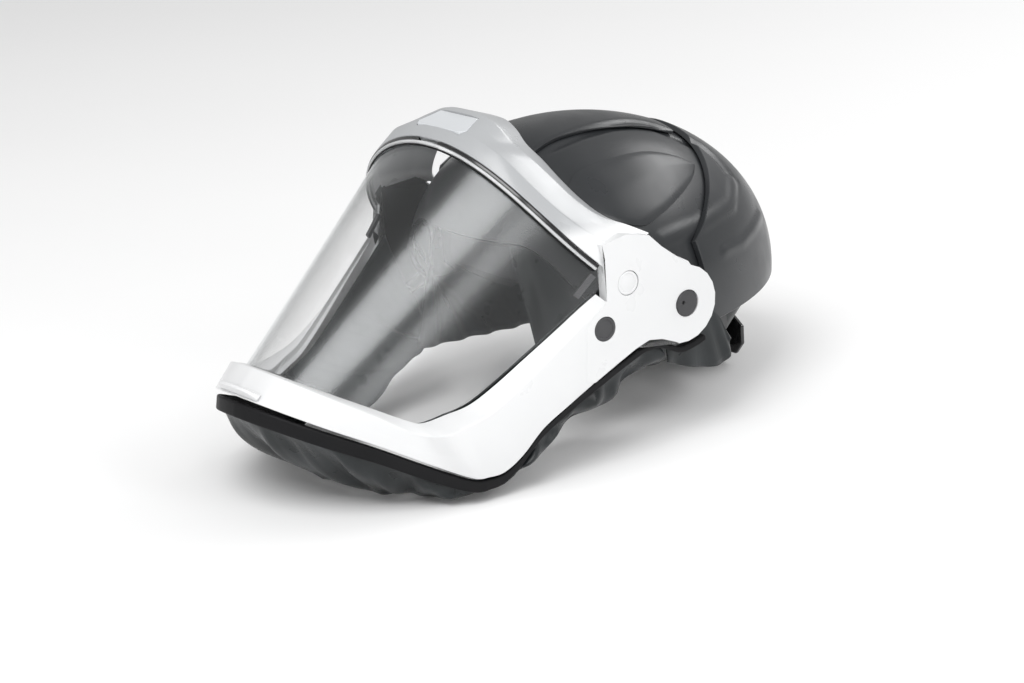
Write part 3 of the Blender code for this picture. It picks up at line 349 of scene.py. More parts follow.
def turned(profile, steps=32):
    """Solid of revolution about local Z. The profile is a closed list of (radius, height)."""
    bm = bmesh.new()
    rings = []
    for k in range(steps):
        angle = 2.0 * math.pi * k / steps
        rings.append([Vector((r * math.cos(angle), r * math.sin(angle), z)) for r, z in profile])
    centre_rows = [i for i, (r, _) in enumerate(profile) if r == 0.0]
    made = {}
    for i in centre_rows:
        made[i] = bm.verts.new((0.0, 0.0, profile[i][1]))
    rows = []
    for ring in rings:
        rows.append([made[i] if i in made else bm.verts.new(p) for i, p in enumerate(ring)])
    for row, following in zip(rows, rows[1:] + rows[:1]):
        for i in range(len(row)):
            j = (i + 1) % len(row)
            corners = []
            for vertex in (row[i], row[j], following[j], following[i]):
                if vertex not in corners:
                    corners.append(vertex)
            if len(corners) > 2:
                bm.faces.new(corners)
    return bm


def moved(bm, centre, axis):
    """Turns a mesh's Z axis to axis and moves it to centre, both in the design frame."""
    turn = Vector((0.0, 0.0, 1.0)).rotation_difference(Vector(axis)).to_matrix().to_4x4()
    bmesh.ops.transform(bm, matrix=Matrix.Translation(Vector(centre)) @ turn, verts=bm.verts)
    return bm


def strut_stations():
    """Left half of the chin bar and strut, as (lens edge, ridge, outer edge) triples."""
    stations = []
    for share in (0.0, 0.2, 0.4, 0.6, 0.8):
        phi = 46.0 * share
        outer_phi = 55.0 * share
        stations.append((cone(phi, chin_edge(phi), 0.5),
                         cone(phi * 1.05, chin_edge(phi) + 4.0, 9.0),
                         cone(outer_phi, CHIN_OUTER_W - CHIN_OUTER_DROP * outer_phi ** 2, 8.0)))
    outer = [(cone(49.5, 161.0, 9.3), cone(57.0, 171.5, 8.0))]
    for (y, z), (outer_y, outer_z) in SIDE_RIDGE:
        outer.append((side(y, z), side(outer_y, outer_z)))
    for (phi, w), (ridge, edge) in zip(LENS_EDGE, outer):
        stations.append((cone(phi, w, 0.5), ridge, edge))
    return stations


def strut_section(edge, ridge, outer):
    """Closed section of the strut: lip over the lens, ridge, outer face and back."""
    across = (outer - ridge).normalized()
    inward = (edge - ridge).normalized()
    back = inward - across * inward.dot(across)
    back = back.normalized()
    return [edge, ridge, ridge.lerp(outer, 0.5), outer,
            outer + back * 3.5 - across * 1.0,
            outer + back * FRAME_WALL - across * 3.0,
            ridge.lerp(outer, 0.3) + back * (FRAME_WALL + 2.0),
            edge + across * 6.0 + back * 3.0,
            edge + across * 4.5]


def brow_stations():
    """Left half of the brow, as (phi of the front edge, ridge, crest, back edge)."""
    return [
        (0.0, (0.0, -92.0, 115.5), (0.0, -70.0, 120.5), (0.0, -50.0, 113.0)),
        (7.0, (15.0, -91.5, 115.0), (15.0, -70.0, 119.8), (14.0, -50.0, 112.0)),
        (13.5, (28.0, -90.5, 112.8), (27.5, -70.5, 116.0), (25.0, -51.0, 107.5)),
        (19.0, (39.0, -89.5, 109.0), (38.0, -67.0, 105.5), (35.0, -52.0, 100.0)),
        (26.5, (52.0, -87.8, 103.0), (52.0, -64.6, 97.0), (47.0, -50.0, 91.5)),
        (36.0, (68.0, -83.5, 90.0), (65.0, -59.5, 85.5), (59.0, -47.0, 80.5)),
        (45.0, (85.0, -77.5, 75.5), (79.0, -53.5, 72.5), (71.0, -42.0, 69.0)),
        (53.0, (99.0, -67.5, 61.5), (91.0, -44.5, 62.0), (82.0, -35.0, 59.0)),
        (58.5, (108.3, -57.0, 52.0), (101.0, -32.0, 55.5), (92.0, -25.0, 51.5)),
        (60.5, (113.2, -41.0, 46.0), (108.0, -20.0, 48.5), (99.0, -14.0, 43.5)),
    ]


def brow_section(phi, ridge, crest, back):
    """Closed section of the brow band: sloping front, top, drop to the shell, and hollow back."""
    front = cone(phi, top_edge(phi) - 3.5, 3.2 - 2.2 * max((phi - 57.0) / 3.5, 0.0))
    rear = (crest - ridge).normalized()
    rise = (ridge - front).normalized()
    under = (rear.cross(rise).cross(rear)).normalized() * -1.0
    return [front, ridge, ridge.lerp(crest, 0.5) + under * -0.6, crest, back,
            back + under * 3.5,
            crest + under * FRAME_WALL,
            ridge + under * (FRAME_WALL + 1.0) + rear * 2.0,
            cone(phi, top_edge(phi) - 3.5, GAP)]


def arm_outline():
    """Outline of the left arm in y and z: its round end, and the cheek in front of it."""
    upper = [(-62.0, 51.0), (-44.0, 54.0), (-27.0, 50.0), (-18.0, 41.0), (-8.0, 33.0), (2.0, 27.0)]
    lower = [(-9.0, -23.5), (-20.0, -18.7), (-30.0, -17.0), (-40.0, -20.0), (-55.0, -26.5),
             (-72.0, -34.5), (-78.0, -33.0), (-76.0, 2.0), (-68.0, 9.0), (-60.4, 15.0),
             (-60.4, 42.0)]
    end = []
    for k in range(11):
        angle = math.radians(74.0 - 17.4 * k)
        end.append((-3.0 + ARM_RADIUS * math.cos(angle), ARM_RADIUS * math.sin(angle)))
    return upper + end + lower


def side_axis(sign):
    """Outward normal of the side face."""
    return Vector((sign, -SIDE_SLOPE, 0.0)).normalized()


def on_side(sign, y, z, inset=0.0):
    point = side(y, z, inset)
    return Vector((sign * point[0], point[1], point[2]))


def brow_top(x, y):
    """Height of the brow's top face near its middle."""
    share = (-70.0 - y) / 22.0
    return 120.5 - 5.0 * share - 0.0045 * x ** 2


def rail_path():
    """Under edge of the frame from the left ear to the chin: (point, way down, rail height)."""
    path = [(side(14.0, -23.0, 3.0), Vector((0, 0.3, -1)), 4.0)]
    path.append((side(-4.0, -27.0, 3.0), Vector((0, 0.1, -1)), 4.0))
    path.append((side(-20.0, -20.5, 3.0), Vector((0, 0.2, -1)), 4.0))
    path.append((side(-38.0, -21.5, 3.0), Vector((0, 0.4, -1)), 4.0))
    stations = strut_stations()[:-1]
    for k in range(len(stations) - 1, -1, -1):
        edge, ridge, outer = stations[k]
        across = (outer - ridge).normalized()
        inward = (edge - ridge).normalized()
        back = (inward - across * inward.dot(across)).normalized()
        share = min(max((9.0 - k) / 4.0, 0.0), 1.0)
        down = (across + Vector((0.0, 0.0, -3.0 * share))).normalized()
        path.append((outer + across * 0.4 + back * (3.0 + 1.5 * share), down, 4.5 + 5.0 * share))
    return path


def rail_rings():
    """Left half of the rail as rings: outer top, outer bottom, inner bottom, inner top."""
    flat = spline([(*point, *down, height) for point, down, height in rail_path()], 2)
    rings = []
    for k, value in enumerate(flat):
        point = Vector(value[0:3])
        down = Vector(value[3:6]).normalized()
        ahead = Vector(flat[min(k + 1, len(flat) - 1)][0:3])
        behind = Vector(flat[max(k - 1, 0)][0:3])
        if k == len(flat) - 1:
            ahead = Vector((-behind.x, behind.y, behind.z))
        out = (ahead - behind).normalized().cross(down).normalized()
        if out.dot(Vector((point.x, point.y + 90.0, 0.0))) < 0.0:
            out = -out
        top = point + down * RAIL_DROP
        bottom = top + down * value[6]
        half = out * RAIL_THICKNESS / 2.0
        rings.append([top + half, bottom + half, bottom - half, top - half])
    return rings


def seal_hem():
    """Lower hem of the face seal on the left, from the ear to the middle of the chin."""
    return [(105.0, -16.0, -42.0), (104.0, -34.0, -46.5), (102.0, -66.0, -56.0), (100.5, -88.0, -64.0),
            (99.0, -106.0, -72.5), (97.0, -122.0, -79.0), (92.0, -137.0, -86.5), (87.0, -150.0, -89.5),
            (80.0, -161.0, -90.5), (68.0, -174.0, -91.0), (56.0, -184.0, -91.0), (44.0, -192.0, -90.0),
            (30.0, -199.0, -88.5), (15.0, -205.0, -87.0), (0.0, -208.0, -86.5)]


def face_opening():
    """Elastic edge of the inner seal on the left, from the cheek to the middle of the chin."""
    return [(89.0, -52.0, -28.0), (84.0, -52.0, -38.0), (76.0, -54.0, -47.0), (67.0, -61.0, -52.0),
            (61.0, -72.0, -52.0), (60.0, -84.0, -56.0), (60.0, -96.0, -64.0), (59.0, -108.0, -71.0),
            (55.0, -122.0, -75.0), (47.0, -137.0, -74.0), (36.0, -150.0, -70.0), (24.0, -160.0, -66.0),
            (12.0, -167.0, -63.0), (0.0, -170.0, -62.0)]


def rim_height(turn):
    """Height of the shell's rim for a turn from the left (0) through the rear (90)."""
    forward = max(-math.sin(math.radians(turn)), 0.0)
    ease = min(max((forward - 0.12) / 0.72, 0.0), 1.0)
    ease = ease * ease * (3.0 - 2.0 * ease)
    return RIM_SIDE_Z + (RIM_FRONT_Z - RIM_SIDE_Z) * ease


def rise_at(turn, z):
    """Rise whose dome point is at height z."""
    low, high = -60.0, 89.0
    for _ in range(40):
        middle = 0.5 * (low + high)
        if dome(turn, middle)[2] > z:
            high = middle
        else:
            low = middle
    return 0.5 * (low + high)


def rear_edge(v):
    """Front edge of the rear housing, as turn and rise, for v from the left (0) to the right (1)."""
    across = abs(2.0 * v - 1.0)
    turn = 21.0 + 138.0 * v
    rise = 24.0 + 21.0 * (1.0 - across ** 1.5)
    return turn, rise


def band_point(turn, off, z_off):
    """Point of the headband: turn from the left through the rear, off outwards, z_off up."""
    t = math.radians(turn)
    length = BAND_REAR if math.sin(t) > 0.0 else BAND_FRONT
    x = (BAND_HALF_WIDTH + off) * math.cos(t)
    y = BAND_Y + (length + off) * math.sin(t)
    low = 0.5 + 0.5 * math.sin(t)
    return Vector((x, y, BAND_Z - BAND_DROP * low + z_off))


def band_tangent(turn):
    """Level direction of the headband at a turn."""
    step = band_point(turn + 1.0, 0.0, 0.0) - band_point(turn - 1.0, 0.0, 0.0)
    return Vector((step.x, step.y, 0.0)).normalized()


def ribbed(rings, centre):
    """Round solid whose outline changes with the angle. Each ring starts and ends on the axis."""
    bm = bmesh.new()
    first = bm.verts.new(Vector(rings[0][0]) + centre)
    last = bm.verts.new(Vector(rings[0][-1]) + centre)
    rows = []
    for ring in rings:
        rows.append([first] + [bm.verts.new(Vector(p) + centre) for p in ring[1:-1]] + [last])
    for row, following in zip(rows, rows[1:] + rows[:1]):
        for i in range(len(row) - 1):
            corners = []
            for vertex in (row[i], row[i + 1], following[i + 1], following[i]):
                if vertex not in corners:
                    corners.append(vertex)
            bm.faces.new(corners)
    return bm


# ---------------------------------------------------------------- materials

def finish_material(name, colour, roughness, metallic=0.0):
    """Material with a Principled shader; returns it with its nodes and shader."""
    made = bpy.data.materials.new(name)
    made.use_nodes = True
    shader = made.node_tree.nodes["Principled BSDF"]
    shader.inputs["Base Color"].default_value = (*colour, 1.0)
    shader.inputs["Roughness"].default_value = roughness
    shader.inputs["Metallic"].default_value = metallic
    return made, made.node_tree, shader


def object_place(tree):
    """The point being shaded, in the object's own metres."""
    return tree.nodes.new("ShaderNodeTexCoord").outputs["Object"]


def noise(tree, scale, detail=3.0):
    made = tree.nodes.new("ShaderNodeTexNoise")
    made.inputs["Scale"].default_value = scale
    made.inputs["Detail"].default_value = detail
    tree.links.new(object_place(tree), made.inputs["Vector"])
    return made.outputs["Fac"]


def spread(tree, source, low, high):
    """Value that runs from low to high as the source runs over its middle range."""
    made = tree.nodes.new("ShaderNodeMapRange")
    made.inputs["From Min"].default_value = 0.3
    made.inputs["From Max"].default_value = 0.7
    made.inputs["To Min"].default_value = low
    made.inputs["To Max"].default_value = high
    tree.links.new(source, made.inputs["Value"])
    return made.outputs["Result"]


def tint(tree, shader, source, dark, light):
    """Colour that varies between two shades with the source."""
    made = tree.nodes.new("ShaderNodeValToRGB")
    made.color_ramp.elements[0].position = 0.3
    made.color_ramp.elements[0].color = (*dark, 1.0)
    made.color_ramp.elements[1].position = 0.7
    made.color_ramp.elements[1].color = (*light, 1.0)
    tree.links.new(source, made.inputs["Fac"])
    tree.links.new(made.outputs["Color"], shader.inputs["Base Color"])


def roughen(tree, shader, source, strength, distance):
    made = tree.nodes.new("ShaderNodeBump")
    made.inputs["Strength"].default_value = strength
    made.inputs["Distance"].default_value = distance
    tree.links.new(source, made.inputs["Height"])
    tree.links.new(made.outputs["Normal"], shader.inputs["Normal"])


def plastic(name, dark, light, low, high, grain, strength, coat=0.0, shine=0.5):
    """Moulded plastic: slight change of shade, uneven gloss and a fine grain."""
    made, tree, shader = finish_material(name, light, low)
    tint(tree, shader, noise(tree, 9.0), dark, light)
    tree.links.new(spread(tree, noise(tree, 45.0, 5.0), low, high), shader.inputs["Roughness"])
    roughen(tree, shader, noise(tree, grain, 2.0), strength, 0.0002)
    shader.inputs["Specular IOR Level"].default_value = shine
    shader.inputs["Coat Weight"].default_value = coat
    shader.inputs["Coat Roughness"].default_value = 0.12
    return made


def frame_material():
    """White moulding with painted shade: above the temples the brow band is painted light grey, standing in
    for its shading.
    """
    made = plastic("frame_moulding", *PLASTICS["white"][1:3], 0.26, *PLASTICS["white"][4:])
    tree = made.node_tree
    shader = tree.nodes["Principled BSDF"]
    white = shader.inputs["Base Color"].links[0].from_socket
    # Painted shade: above a height the white is mixed into the light grey of the brow.
    split = tree.nodes.new("ShaderNodeSeparateXYZ")
    tree.links.new(object_place(tree), split.inputs["Vector"])
    height = tree.nodes.new("ShaderNodeMapRange")
    height.interpolation_type = "SMOOTHSTEP"
    height.inputs["From Min"].default_value = BROW_SHADE_LOW
    height.inputs["From Max"].default_value = BROW_SHADE_HIGH
    tree.links.new(split.outputs["Z"], height.inputs["Value"])
    mix = tree.nodes.new("ShaderNodeMix")
    mix.data_type = "RGBA"
    mix.inputs["B"].default_value = (*BROW_PAINTED_SHADE, 1.0)
    tree.links.new(height.outputs["Result"], mix.inputs["Factor"])
    tree.links.new(white, mix.inputs["A"])
    tree.links.new(mix.outputs["Result"], shader.inputs["Base Color"])
    return made


def woven(name, dark, light, pitch, roughness, sheen, weave=0.25):
    """Cloth: two crossed sets of threads in the bump, with patchy colour."""
    made, tree, shader = finish_material(name, light, roughness)
    tint(tree, shader, noise(tree, 30.0, 4.0), dark, light)
    where = object_place(tree)
    total = tree.nodes.new("ShaderNodeMath")
    total.operation = "ADD"
    for slot_number, direction in enumerate(("X", "Z")):
        threads = tree.nodes.new("ShaderNodeTexWave")
        threads.bands_direction = direction
        threads.inputs["Scale"].default_value = 0.314 / pitch
        threads.inputs["Distortion"].default_value = 0.6
        tree.links.new(where, threads.inputs["Vector"])
        tree.links.new(threads.outputs["Fac"], total.inputs[slot_number])
    roughen(tree, shader, total.outputs["Value"], weave, 0.0003)
    tree.links.new(spread(tree, noise(tree, 60.0), roughness - 0.06, roughness + 0.1),
                   shader.inputs["Roughness"])
    shader.inputs["Specular IOR Level"].default_value = 0.3
    shader.inputs["Sheen Weight"].default_value = sheen
    shader.inputs["Sheen Roughness"].default_value = 0.4
    return made


def lens_material():
    """Clear sheet: light passes through it, and it mirrors the lights more at grazing angles."""
    made, tree, shader = finish_material("lens_clear", (0.93, 0.95, 0.96), 0.04, 1.0)
    facing = tree.nodes.new("ShaderNodeLayerWeight")
    facing.inputs["Blend"].default_value = 0.5
    grazing = tree.nodes.new("ShaderNodeMath")
    grazing.operation = "POWER"
    grazing.inputs[1].default_value = 5.0
    tree.links.new(facing.outputs["Facing"], grazing.inputs[0])
    mirrored_share = tree.nodes.new("ShaderNodeMath")
    mirrored_share.operation = "MULTIPLY_ADD"
    mirrored_share.inputs[1].default_value = 1.0 - LENS_GLOSS
    mirrored_share.inputs[2].default_value = LENS_GLOSS
    tree.links.new(grazing.outputs["Value"], mirrored_share.inputs[0])
    tree.links.new(mirrored_share.outputs["Value"], shader.inputs["Alpha"])
    tree.links.new(spread(tree, noise(tree, 14.0), 0.16, 0.22), shader.inputs["Roughness"])
    return made


def make_finishes():
    looks = {key: plastic(*values) for key, values in PLASTICS.items()}
    looks.update({key: woven(*values) for key, values in CLOTHS.items()})
    looks["frame"] = frame_material()
    looks["lens"] = lens_material()
    return looks


def lip_highlight_material():
    """Clear moulded lip with a painted highlight: a half-opaque near-white colour stands for the bright
    glint along its edge, on top of its real gloss.
    """
    made, tree, shader = finish_material("lip_clear_painted_highlight", (0.9, 0.91, 0.92), 0.08)
    tree.links.new(spread(tree, noise(tree, 30.0), 0.06, 0.14), shader.inputs["Roughness"])
    # Painted highlight: half of the near-white colour shows from every side.
    shader.inputs["Alpha"].default_value = 0.50
    return made


def steel_material():
    made, tree, shader = finish_material("pin_steel", (0.55, 0.55, 0.56), 0.3, 1.0)
    tree.links.new(spread(tree, noise(tree, 300.0, 4.0), 0.22, 0.4), shader.inputs["Roughness"])
    return made


# ---------------------------------------------------------------- finished pieces

def finish_piece(name, bm, look, body, nodes=(), angle=38.0):
    """A finished piece from a bmesh in the design frame, riding on a body in place of CAD nodes."""
    for vertex in bm.verts:
        vertex.co = place(vertex.co)
    bmesh.ops.recalc_face_normals(bm, faces=bm.faces)
    mesh = bpy.data.meshes.new(name)
    bm.to_mesh(mesh)
    bm.free()
    mesh.shade_smooth()
    mesh.set_sharp_from_angle(angle=math.radians(angle))
    mesh.materials.append(look)
    made = bpy.data.objects.new(name, mesh)
    bpy.context.scene.collection.objects.link(made)
    if body:
        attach(made, body)
    if nodes:
        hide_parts(*nodes)
    return made


def apply_modifiers(made):
    """Bakes an object's modifiers into its mesh."""
    bpy.context.view_layer.update()
    graph = bpy.context.evaluated_depsgraph_get()
    baked = bpy.data.meshes.new_from_object(made.evaluated_get(graph))
    made.modifiers.clear()
    made.data = baked
    return made


def soften(made, width, segments=2, angle=35.0):
    step = made.modifiers.new("edge_radius", "BEVEL")
    step.width = width * MM
    step.segments = segments
    step.limit_method = "ANGLE"
    step.angle_limit = math.radians(angle)
    apply_modifiers(made)
    made.data.shade_smooth()
    return made


def rounded(ring, radius):
    """The ring with each corner turned into a small arc."""
    result = []
    count = len(ring)
    for k, corner in enumerate(ring):
        before = ring[k - 1] - corner
        after = ring[(k + 1) % count] - corner
        a = corner + before.normalized() * min(radius, 0.35 * before.length)
        b = corner + after.normalized() * min(radius, 0.35 * after.length)
        for t in (0.0, 0.35, 0.65, 1.0):
            result.append(a.lerp(corner, t).lerp(corner.lerp(b, t), t))
    return result


def strut_rings():
    left = spline([tuple(c for p in s for c in p) for s in strut_stations()], FINE)
    rings = [rounded(strut_section(*[Vector(v[i:i + 3]) for i in (0, 3, 6)]), EDGE_RADIUS) for v in left]
    return [mirrored(ring) for ring in rings[:0:-1]] + rings


def brow_rings():
    flat = [(phi, *ridge, *crest, *back) for phi, ridge, crest, back in brow_stations()]
    rings = []
    for value in spline(flat, FINE):
        section = brow_section(value[0], Vector(value[1:4]), Vector(value[4:7]), Vector(value[7:10]))
        rings.append(rounded(section, EDGE_RADIUS))
    return [mirrored(ring) for ring in rings[:0:-1]] + rings


def arm_rings(sign):
    outline = arm_outline()
    rings = [[side(y, z, ARM_THICKNESS) for y, z in outline], [side(y, z, -ARM_PROUD) for y, z in outline]]
    return rings if sign > 0 else [mirrored(ring) for ring in rings]


def bored(centre, axis, radius, depth):
    profile = [(0.0, -depth), (radius, -depth), (radius, depth), (0.0, depth)]
    return moved(turned(profile, 64), centre, axis)


def combine(target, piece, operation):
    """Joins or takes away one finished piece from another, and removes it."""
    step = target.modifiers.new("combine", "BOOLEAN")
    step.operation = operation
    step.solver = "MANIFOLD"
    step.object = piece
    apply_modifiers(target)
    bpy.data.objects.remove(piece)


def cut(target, bm):
    """Takes a solid in the design frame away from a finished piece."""
    combine(target, finish_piece("cutter", bm, target.data.materials[0], None), "DIFFERENCE")


def badge_rings(grow, low, high):
    half = 23.0 + grow
    outline = [(-half + 3.0, -93.5 - grow), (half - 3.0, -93.5 - grow), (half, -90.0),
               (half - 5.0, -75.5 + grow), (-half + 5.0, -75.5 + grow), (-half, -90.0)]
    return [[Vector((x, y, brow_top(x, y) + z)) for x, y in outline] for z in (low, high)]


def visor_body(looks):
    """Brow, cheeks, struts and chin bar as one moulding with eased edges and its recesses."""
    body = finish_piece("visor_moulding", loft(strut_rings()), looks["frame"], None)
    for rings in (brow_rings(), arm_rings(1), arm_rings(-1)):
        piece = finish_piece("moulding_part", loft(rings), looks["frame"], None)
        combine(body, piece, "UNION")
    cut(body, lens_skin(GAP))
    cut(body, loft(badge_rings(GAP, -2.5, 6.0)))
    for sign in (1, -1):
        cut(body, bored(on_side(sign, 0.0, 0.0, 1.0), (sign, 0, 0), CAP_RADIUS + GAP, 3.0))
        for y, z in (PORT_PLACE, ROUND_PLACE):
            cut(body, bored(on_side(sign, y, z), side_axis(sign), PLUG_RADIUS + GAP, 3.2))
    body.data.shade_smooth()
    body.data.set_sharp_from_angle(angle=math.radians(32.0))
    # Second slot: black rubber, used as painted shade on the inside of the arms.
    body.data.materials.append(looks["rubber"])
    shade_arms_inside(body)
    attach(body, "visor")
    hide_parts("visor_frame")
    return body


def shade_arms_inside(body):
    """Painted shade: the inner faces of both arms, behind the lens, get the black rubber finish to stand in
    for the shade inside the helmet.
    """
    for face in body.data.polygons:
        centre = face.center / MM - Vector((0.0, PIVOT_Y, PIVOT_Z))
        inward = -math.copysign(1.0, centre.x) * face.normal.x
        if inward > 0.5 and abs(centre.x) > 85.0 and centre.y > -66.0 and centre.z < 50.0:
            # painted shade: black rubber finish on this inner face
            face.material_index = 1


def lens_skin(grow):
    """The lens as a closed sheet, or the groove that holds it when grow is more than nothing."""
    outer = []
    inner = []
    for i in range(LENS_ROWS + 1):
        b = i / LENS_ROWS
        phi_edge = LENS_TOP_PHI + 1.0 + 0.5 * grow + (LENS_CORNER_PHI - LENS_TOP_PHI) * b ** 1.6
        phi_edge -= LENS_CORNER_CUT * max(1.0 - 12.0 * b, 0.0)
        rows = ([], [])
        for j in range(LENS_COLUMNS + 1):
            phi = phi_edge * (2.0 * j / LENS_COLUMNS - 1.0)
            high = top_edge(phi) - LENS_MARGIN - grow
            low = chin_edge(phi) + LENS_MARGIN + grow
            w = high + (low - high) * b
            rows[0].append(cone(phi, w, grow))
            rows[1].append(cone(phi, w, -LENS_THICKNESS - grow))
        outer.append(rows[0])
        inner.append(rows[1])
    return slab(outer, inner)


def lens_sheet(looks):
    finish_piece("visor_screen", lens_skin(0.0), looks["lens"], "visor", ("visor_lens",))


def lip_strip(name, w_low, w_high, h_low, h_high, phi_low, phi_high, look, nodes=()):
    """Band along the lens's top edge, between two turns round the lens."""
    rings = []
    steps = 110
    for k in range(steps + 1):
        phi = phi_low + (phi_high - phi_low) * k / steps
        w = top_edge(phi)
        corners = ((w_low, h_low), (w_low, h_high), (w_high, h_high), (w_high, h_low))
        rings.append([cone(phi, w + below, height) for below, height in corners])
    return soften(finish_piece(name, loft(rings), look, "visor", nodes), 0.3)


def lens_lip(looks):
    end = LENS_TOP_PHI - 3.0
    # Lip along the whole top edge, with its painted highlight.
    lip_strip("lens_lip", 0.7, -1.0, GAP, 2.6, -end, end, lip_highlight_material(), ("lens_rim",))
    for sign, label in ((1, "left"), (-1, "right")):
        low, high = sorted((sign * INSERT_START, sign * end))
        lip_strip("lens_insert_" + label, -1.1, -3.0, GAP, 3.1, low, high, looks["gloss"])
    lip_strip("lens_gasket", 1.9, 0.8, GAP, 1.3, -end, end, looks["rubber"])


def fabric_sheet(name, grid, look, nodes, body="visor"):
    """Gathered cloth from a grid of points, with a thin wall."""
    rows = len(grid)
    columns = len(grid[0])
    under = []
    for i in range(rows):
        row = []
        for j in range(columns):
            along = grid[min(i + 1, rows - 1)][j] - grid[max(i - 1, 0)][j]
            across = grid[i][min(j + 1, columns - 1)] - grid[i][max(j - 1, 0)]
            row.append(grid[i][j] - along.cross(across).normalized() * FABRIC_WALL)
        under.append(row)
    made = finish_piece(name, slab(grid, under), look, body, nodes, 180.0)
    return made


def pleat(along, down, seed):
    """Height of the gathers: long diagonal folds, with finer ones near the rail."""
    broad = math.sin(along * 0.105 + down * 2.6 + seed)
    broad += 0.5 * math.sin(along * 0.23 - down * 1.9 + 2.0 * seed)
    fine = math.sin(along * 0.62 + down * 0.8 + 3.0 * seed)
    return broad * 10.0 * down * (1.25 - down) + fine * 0.7 * min(4.0 * down, 1.0) * (1.0 - down)


def chin_fabric(looks):
    """Face seal under the rail, gathered into folds between the rail and its elastic hem."""
    columns = 22
    rings = rail_fine()
    hem = spline(seal_hem(), 8)
    start = round(len(rings) * 4.0 / 35.0)
    rings = rings[start:]
    left = []
    run = 0.0
    for k, ring in enumerate(rings):
        share = k / (len(rings) - 1)
        place_on_hem = share * (len(hem) - 1)
        low_index = min(int(place_on_hem), len(hem) - 2)
        low = Vector(hem[low_index]).lerp(Vector(hem[low_index + 1]), place_on_hem - low_index)
        high = ring[1].lerp(ring[2], 0.3)
        out = Vector((high.x, high.y + 60.0, 0.0)).normalized()
        if k:
            run += (ring[1] - rings[k - 1][1]).length
        row = []
        for j in range(columns + 1):
            down = j / columns
            belly = math.sin(math.pi * down) * SEAL_BELLY * 0.75 * share
            fold = pleat(run, down, 0.7) - 2.0
            lift = Vector((0.0, 0.0, HEM_WAVE * down ** 3 * (1.0 + math.sin(run * 0.09 + 0.5))))
            row.append(high.lerp(low, down) + out * (belly + fold) + lift)
        left.append(row)
    grid = left + [mirrored(row) for row in left[-2::-1]]
    fabric_sheet("chin_fabric", grid, looks["fabric"], ("face_seal",))


def rail_fine():
    """Left half of the rail in small steps, as rings of four corners."""
    coarse = rail_rings()
    flat = spline([tuple(c for p in ring for c in p) for ring in coarse], 4)
    return [[Vector(v[i:i + 3]) for i in (0, 3, 6, 9)] for v in flat]


def rail_bead(looks):
    rings = rail_fine()
    other = [mirrored(ring) for ring in rings[-2::-1]]
    made = finish_piece("seal_bead", loft(rings + other), looks["rubber"], "visor", ("seal_rail",))
    return soften(made, 1.2, 3, 50.0)


def cheek_fabric(looks):
    """Inner seal from the lens's edge to the elastic round the wearer's face."""
    outer_edge = []
    for phi, w in reversed(LENS_EDGE):
        outer_edge.append(cone(phi + 0.8, w + 1.0, -SEAL_SETBACK + 1.0))
    for share in (0.8, 0.6, 0.4, 0.2, 0.0):
        phi = 46.0 * share
        outer_edge.append(cone(phi, chin_edge(phi) + 1.0, -SEAL_SETBACK + 1.0))
    columns = 16
    left = []
    run = 0.0
    flat = spline([(*a, *b) for a, b in zip(outer_edge, face_opening())], 8)
    before = None
    for value in flat:
        start = Vector(value[0:3])
        end = Vector(value[3:6])
        if before is not None:
            run += (start - before).length
        before = start
        row = []
        for j in range(columns + 1):
            down = j / columns
            ease = min(4.0 * down, 1.0)
            drop = -SEAL_SAG * math.sin(math.pi * down) - pleat(run, down, 1.9) * 0.6 * ease
            sag = Vector((0.0, 0.0, drop))
            row.append(start.lerp(end, down) + sag)
        left.append(row)
    grid = left + [mirrored(row) for row in left[-2::-1]]
    fabric_sheet("cheek_fabric", grid, looks["fabric"], ("inner_seal",))


def neck_curtain(sign, label, looks):
    """Fabric from the shell's rim down to the wearer's neck, behind the inner seal."""
    grid = []
    for k in range(81):
        share = k / 80.0
        turn = CURTAIN_TURNS[0] + (CURTAIN_TURNS[1] - CURTAIN_TURNS[0]) * share
        top = dome(turn, rise_at(turn, rim_height(turn) + 4.0), -SHELL_WALL - 1.6)
        low = Vector((62.0, -72.0 + 150.0 * share, -51.0 - 11.0 * share))
        row = []
        for j in range(17):
            down = j / 16.0
            wave = 1.6 * math.sin(k * 0.5 + 2.0 * down) * min(3.0 * down, 1.0)
            point = top.lerp(low, down) + Vector((wave, 0.0, 0.0))
            row.append(Vector((sign * point.x, point.y, point.z)))
        grid.append(row)
    if sign < 0:
        grid.reverse()
    fabric_sheet("neck_curtain_" + label, grid, looks["fabric"], (), "helmet")


def ear_fabric(sign, label, looks):
    """Soft flap below the pivot, with folds that run down from the arm."""
    top = spline([(-10.0, -29.5), (4.0, -29.5), (20.0, -22.0), (27.0, -12.0), (38.0, -22.0)], 8)
    low = spline([(-10.0, -38.0), (8.0, -46.0), (30.0, -52.0), (44.0, -50.0), (46.0, -38.0)], 8)
    grid = []
    for k, (a, b) in enumerate(zip(top, low)):
        row = []
        for j in range(11):
            down = j / 10.0
            y = a[0] + (b[0] - a[0]) * down
            z = a[1] + (b[1] - a[1]) * down
            x = 109.2 + 0.9 * math.sin(k * 0.75 + down * 1.4) * down - 0.4
            row.append(Vector((sign * x, y, z)))
        grid.append(row)
    if sign > 0:
        grid.reverse()
    fabric_sheet("ear_fabric_" + label, grid, looks["fabric"], ("ear_flap_" + label,))


def nearest(point, line):
    """Distance from a point to a chain of points."""
    best = 1e9
    for a, b in zip(line, line[1:]):
        step = b - a
        t = min(max((point - a).dot(step) / step.length_squared, 0.0), 1.0)
        best = min(best, (a + step * t - point).length)
    return best


SHELL_CHAINS = [([Vector(p) for p in points], half, depth) for points, half, depth in SHELL_LINES]


def relief(point):
    """How far the shell's face stands off the plain dome because of its lines."""
    here = Vector((abs(point[0]), point[1], point[2]))
    off = 0.0
    for chain, half, depth in SHELL_CHAINS:
        distance = nearest(here, chain)
        if distance < 2.0 * half:
            t = distance / (2.0 * half)
            off += depth * (1.0 - t * t) ** 2
    return off


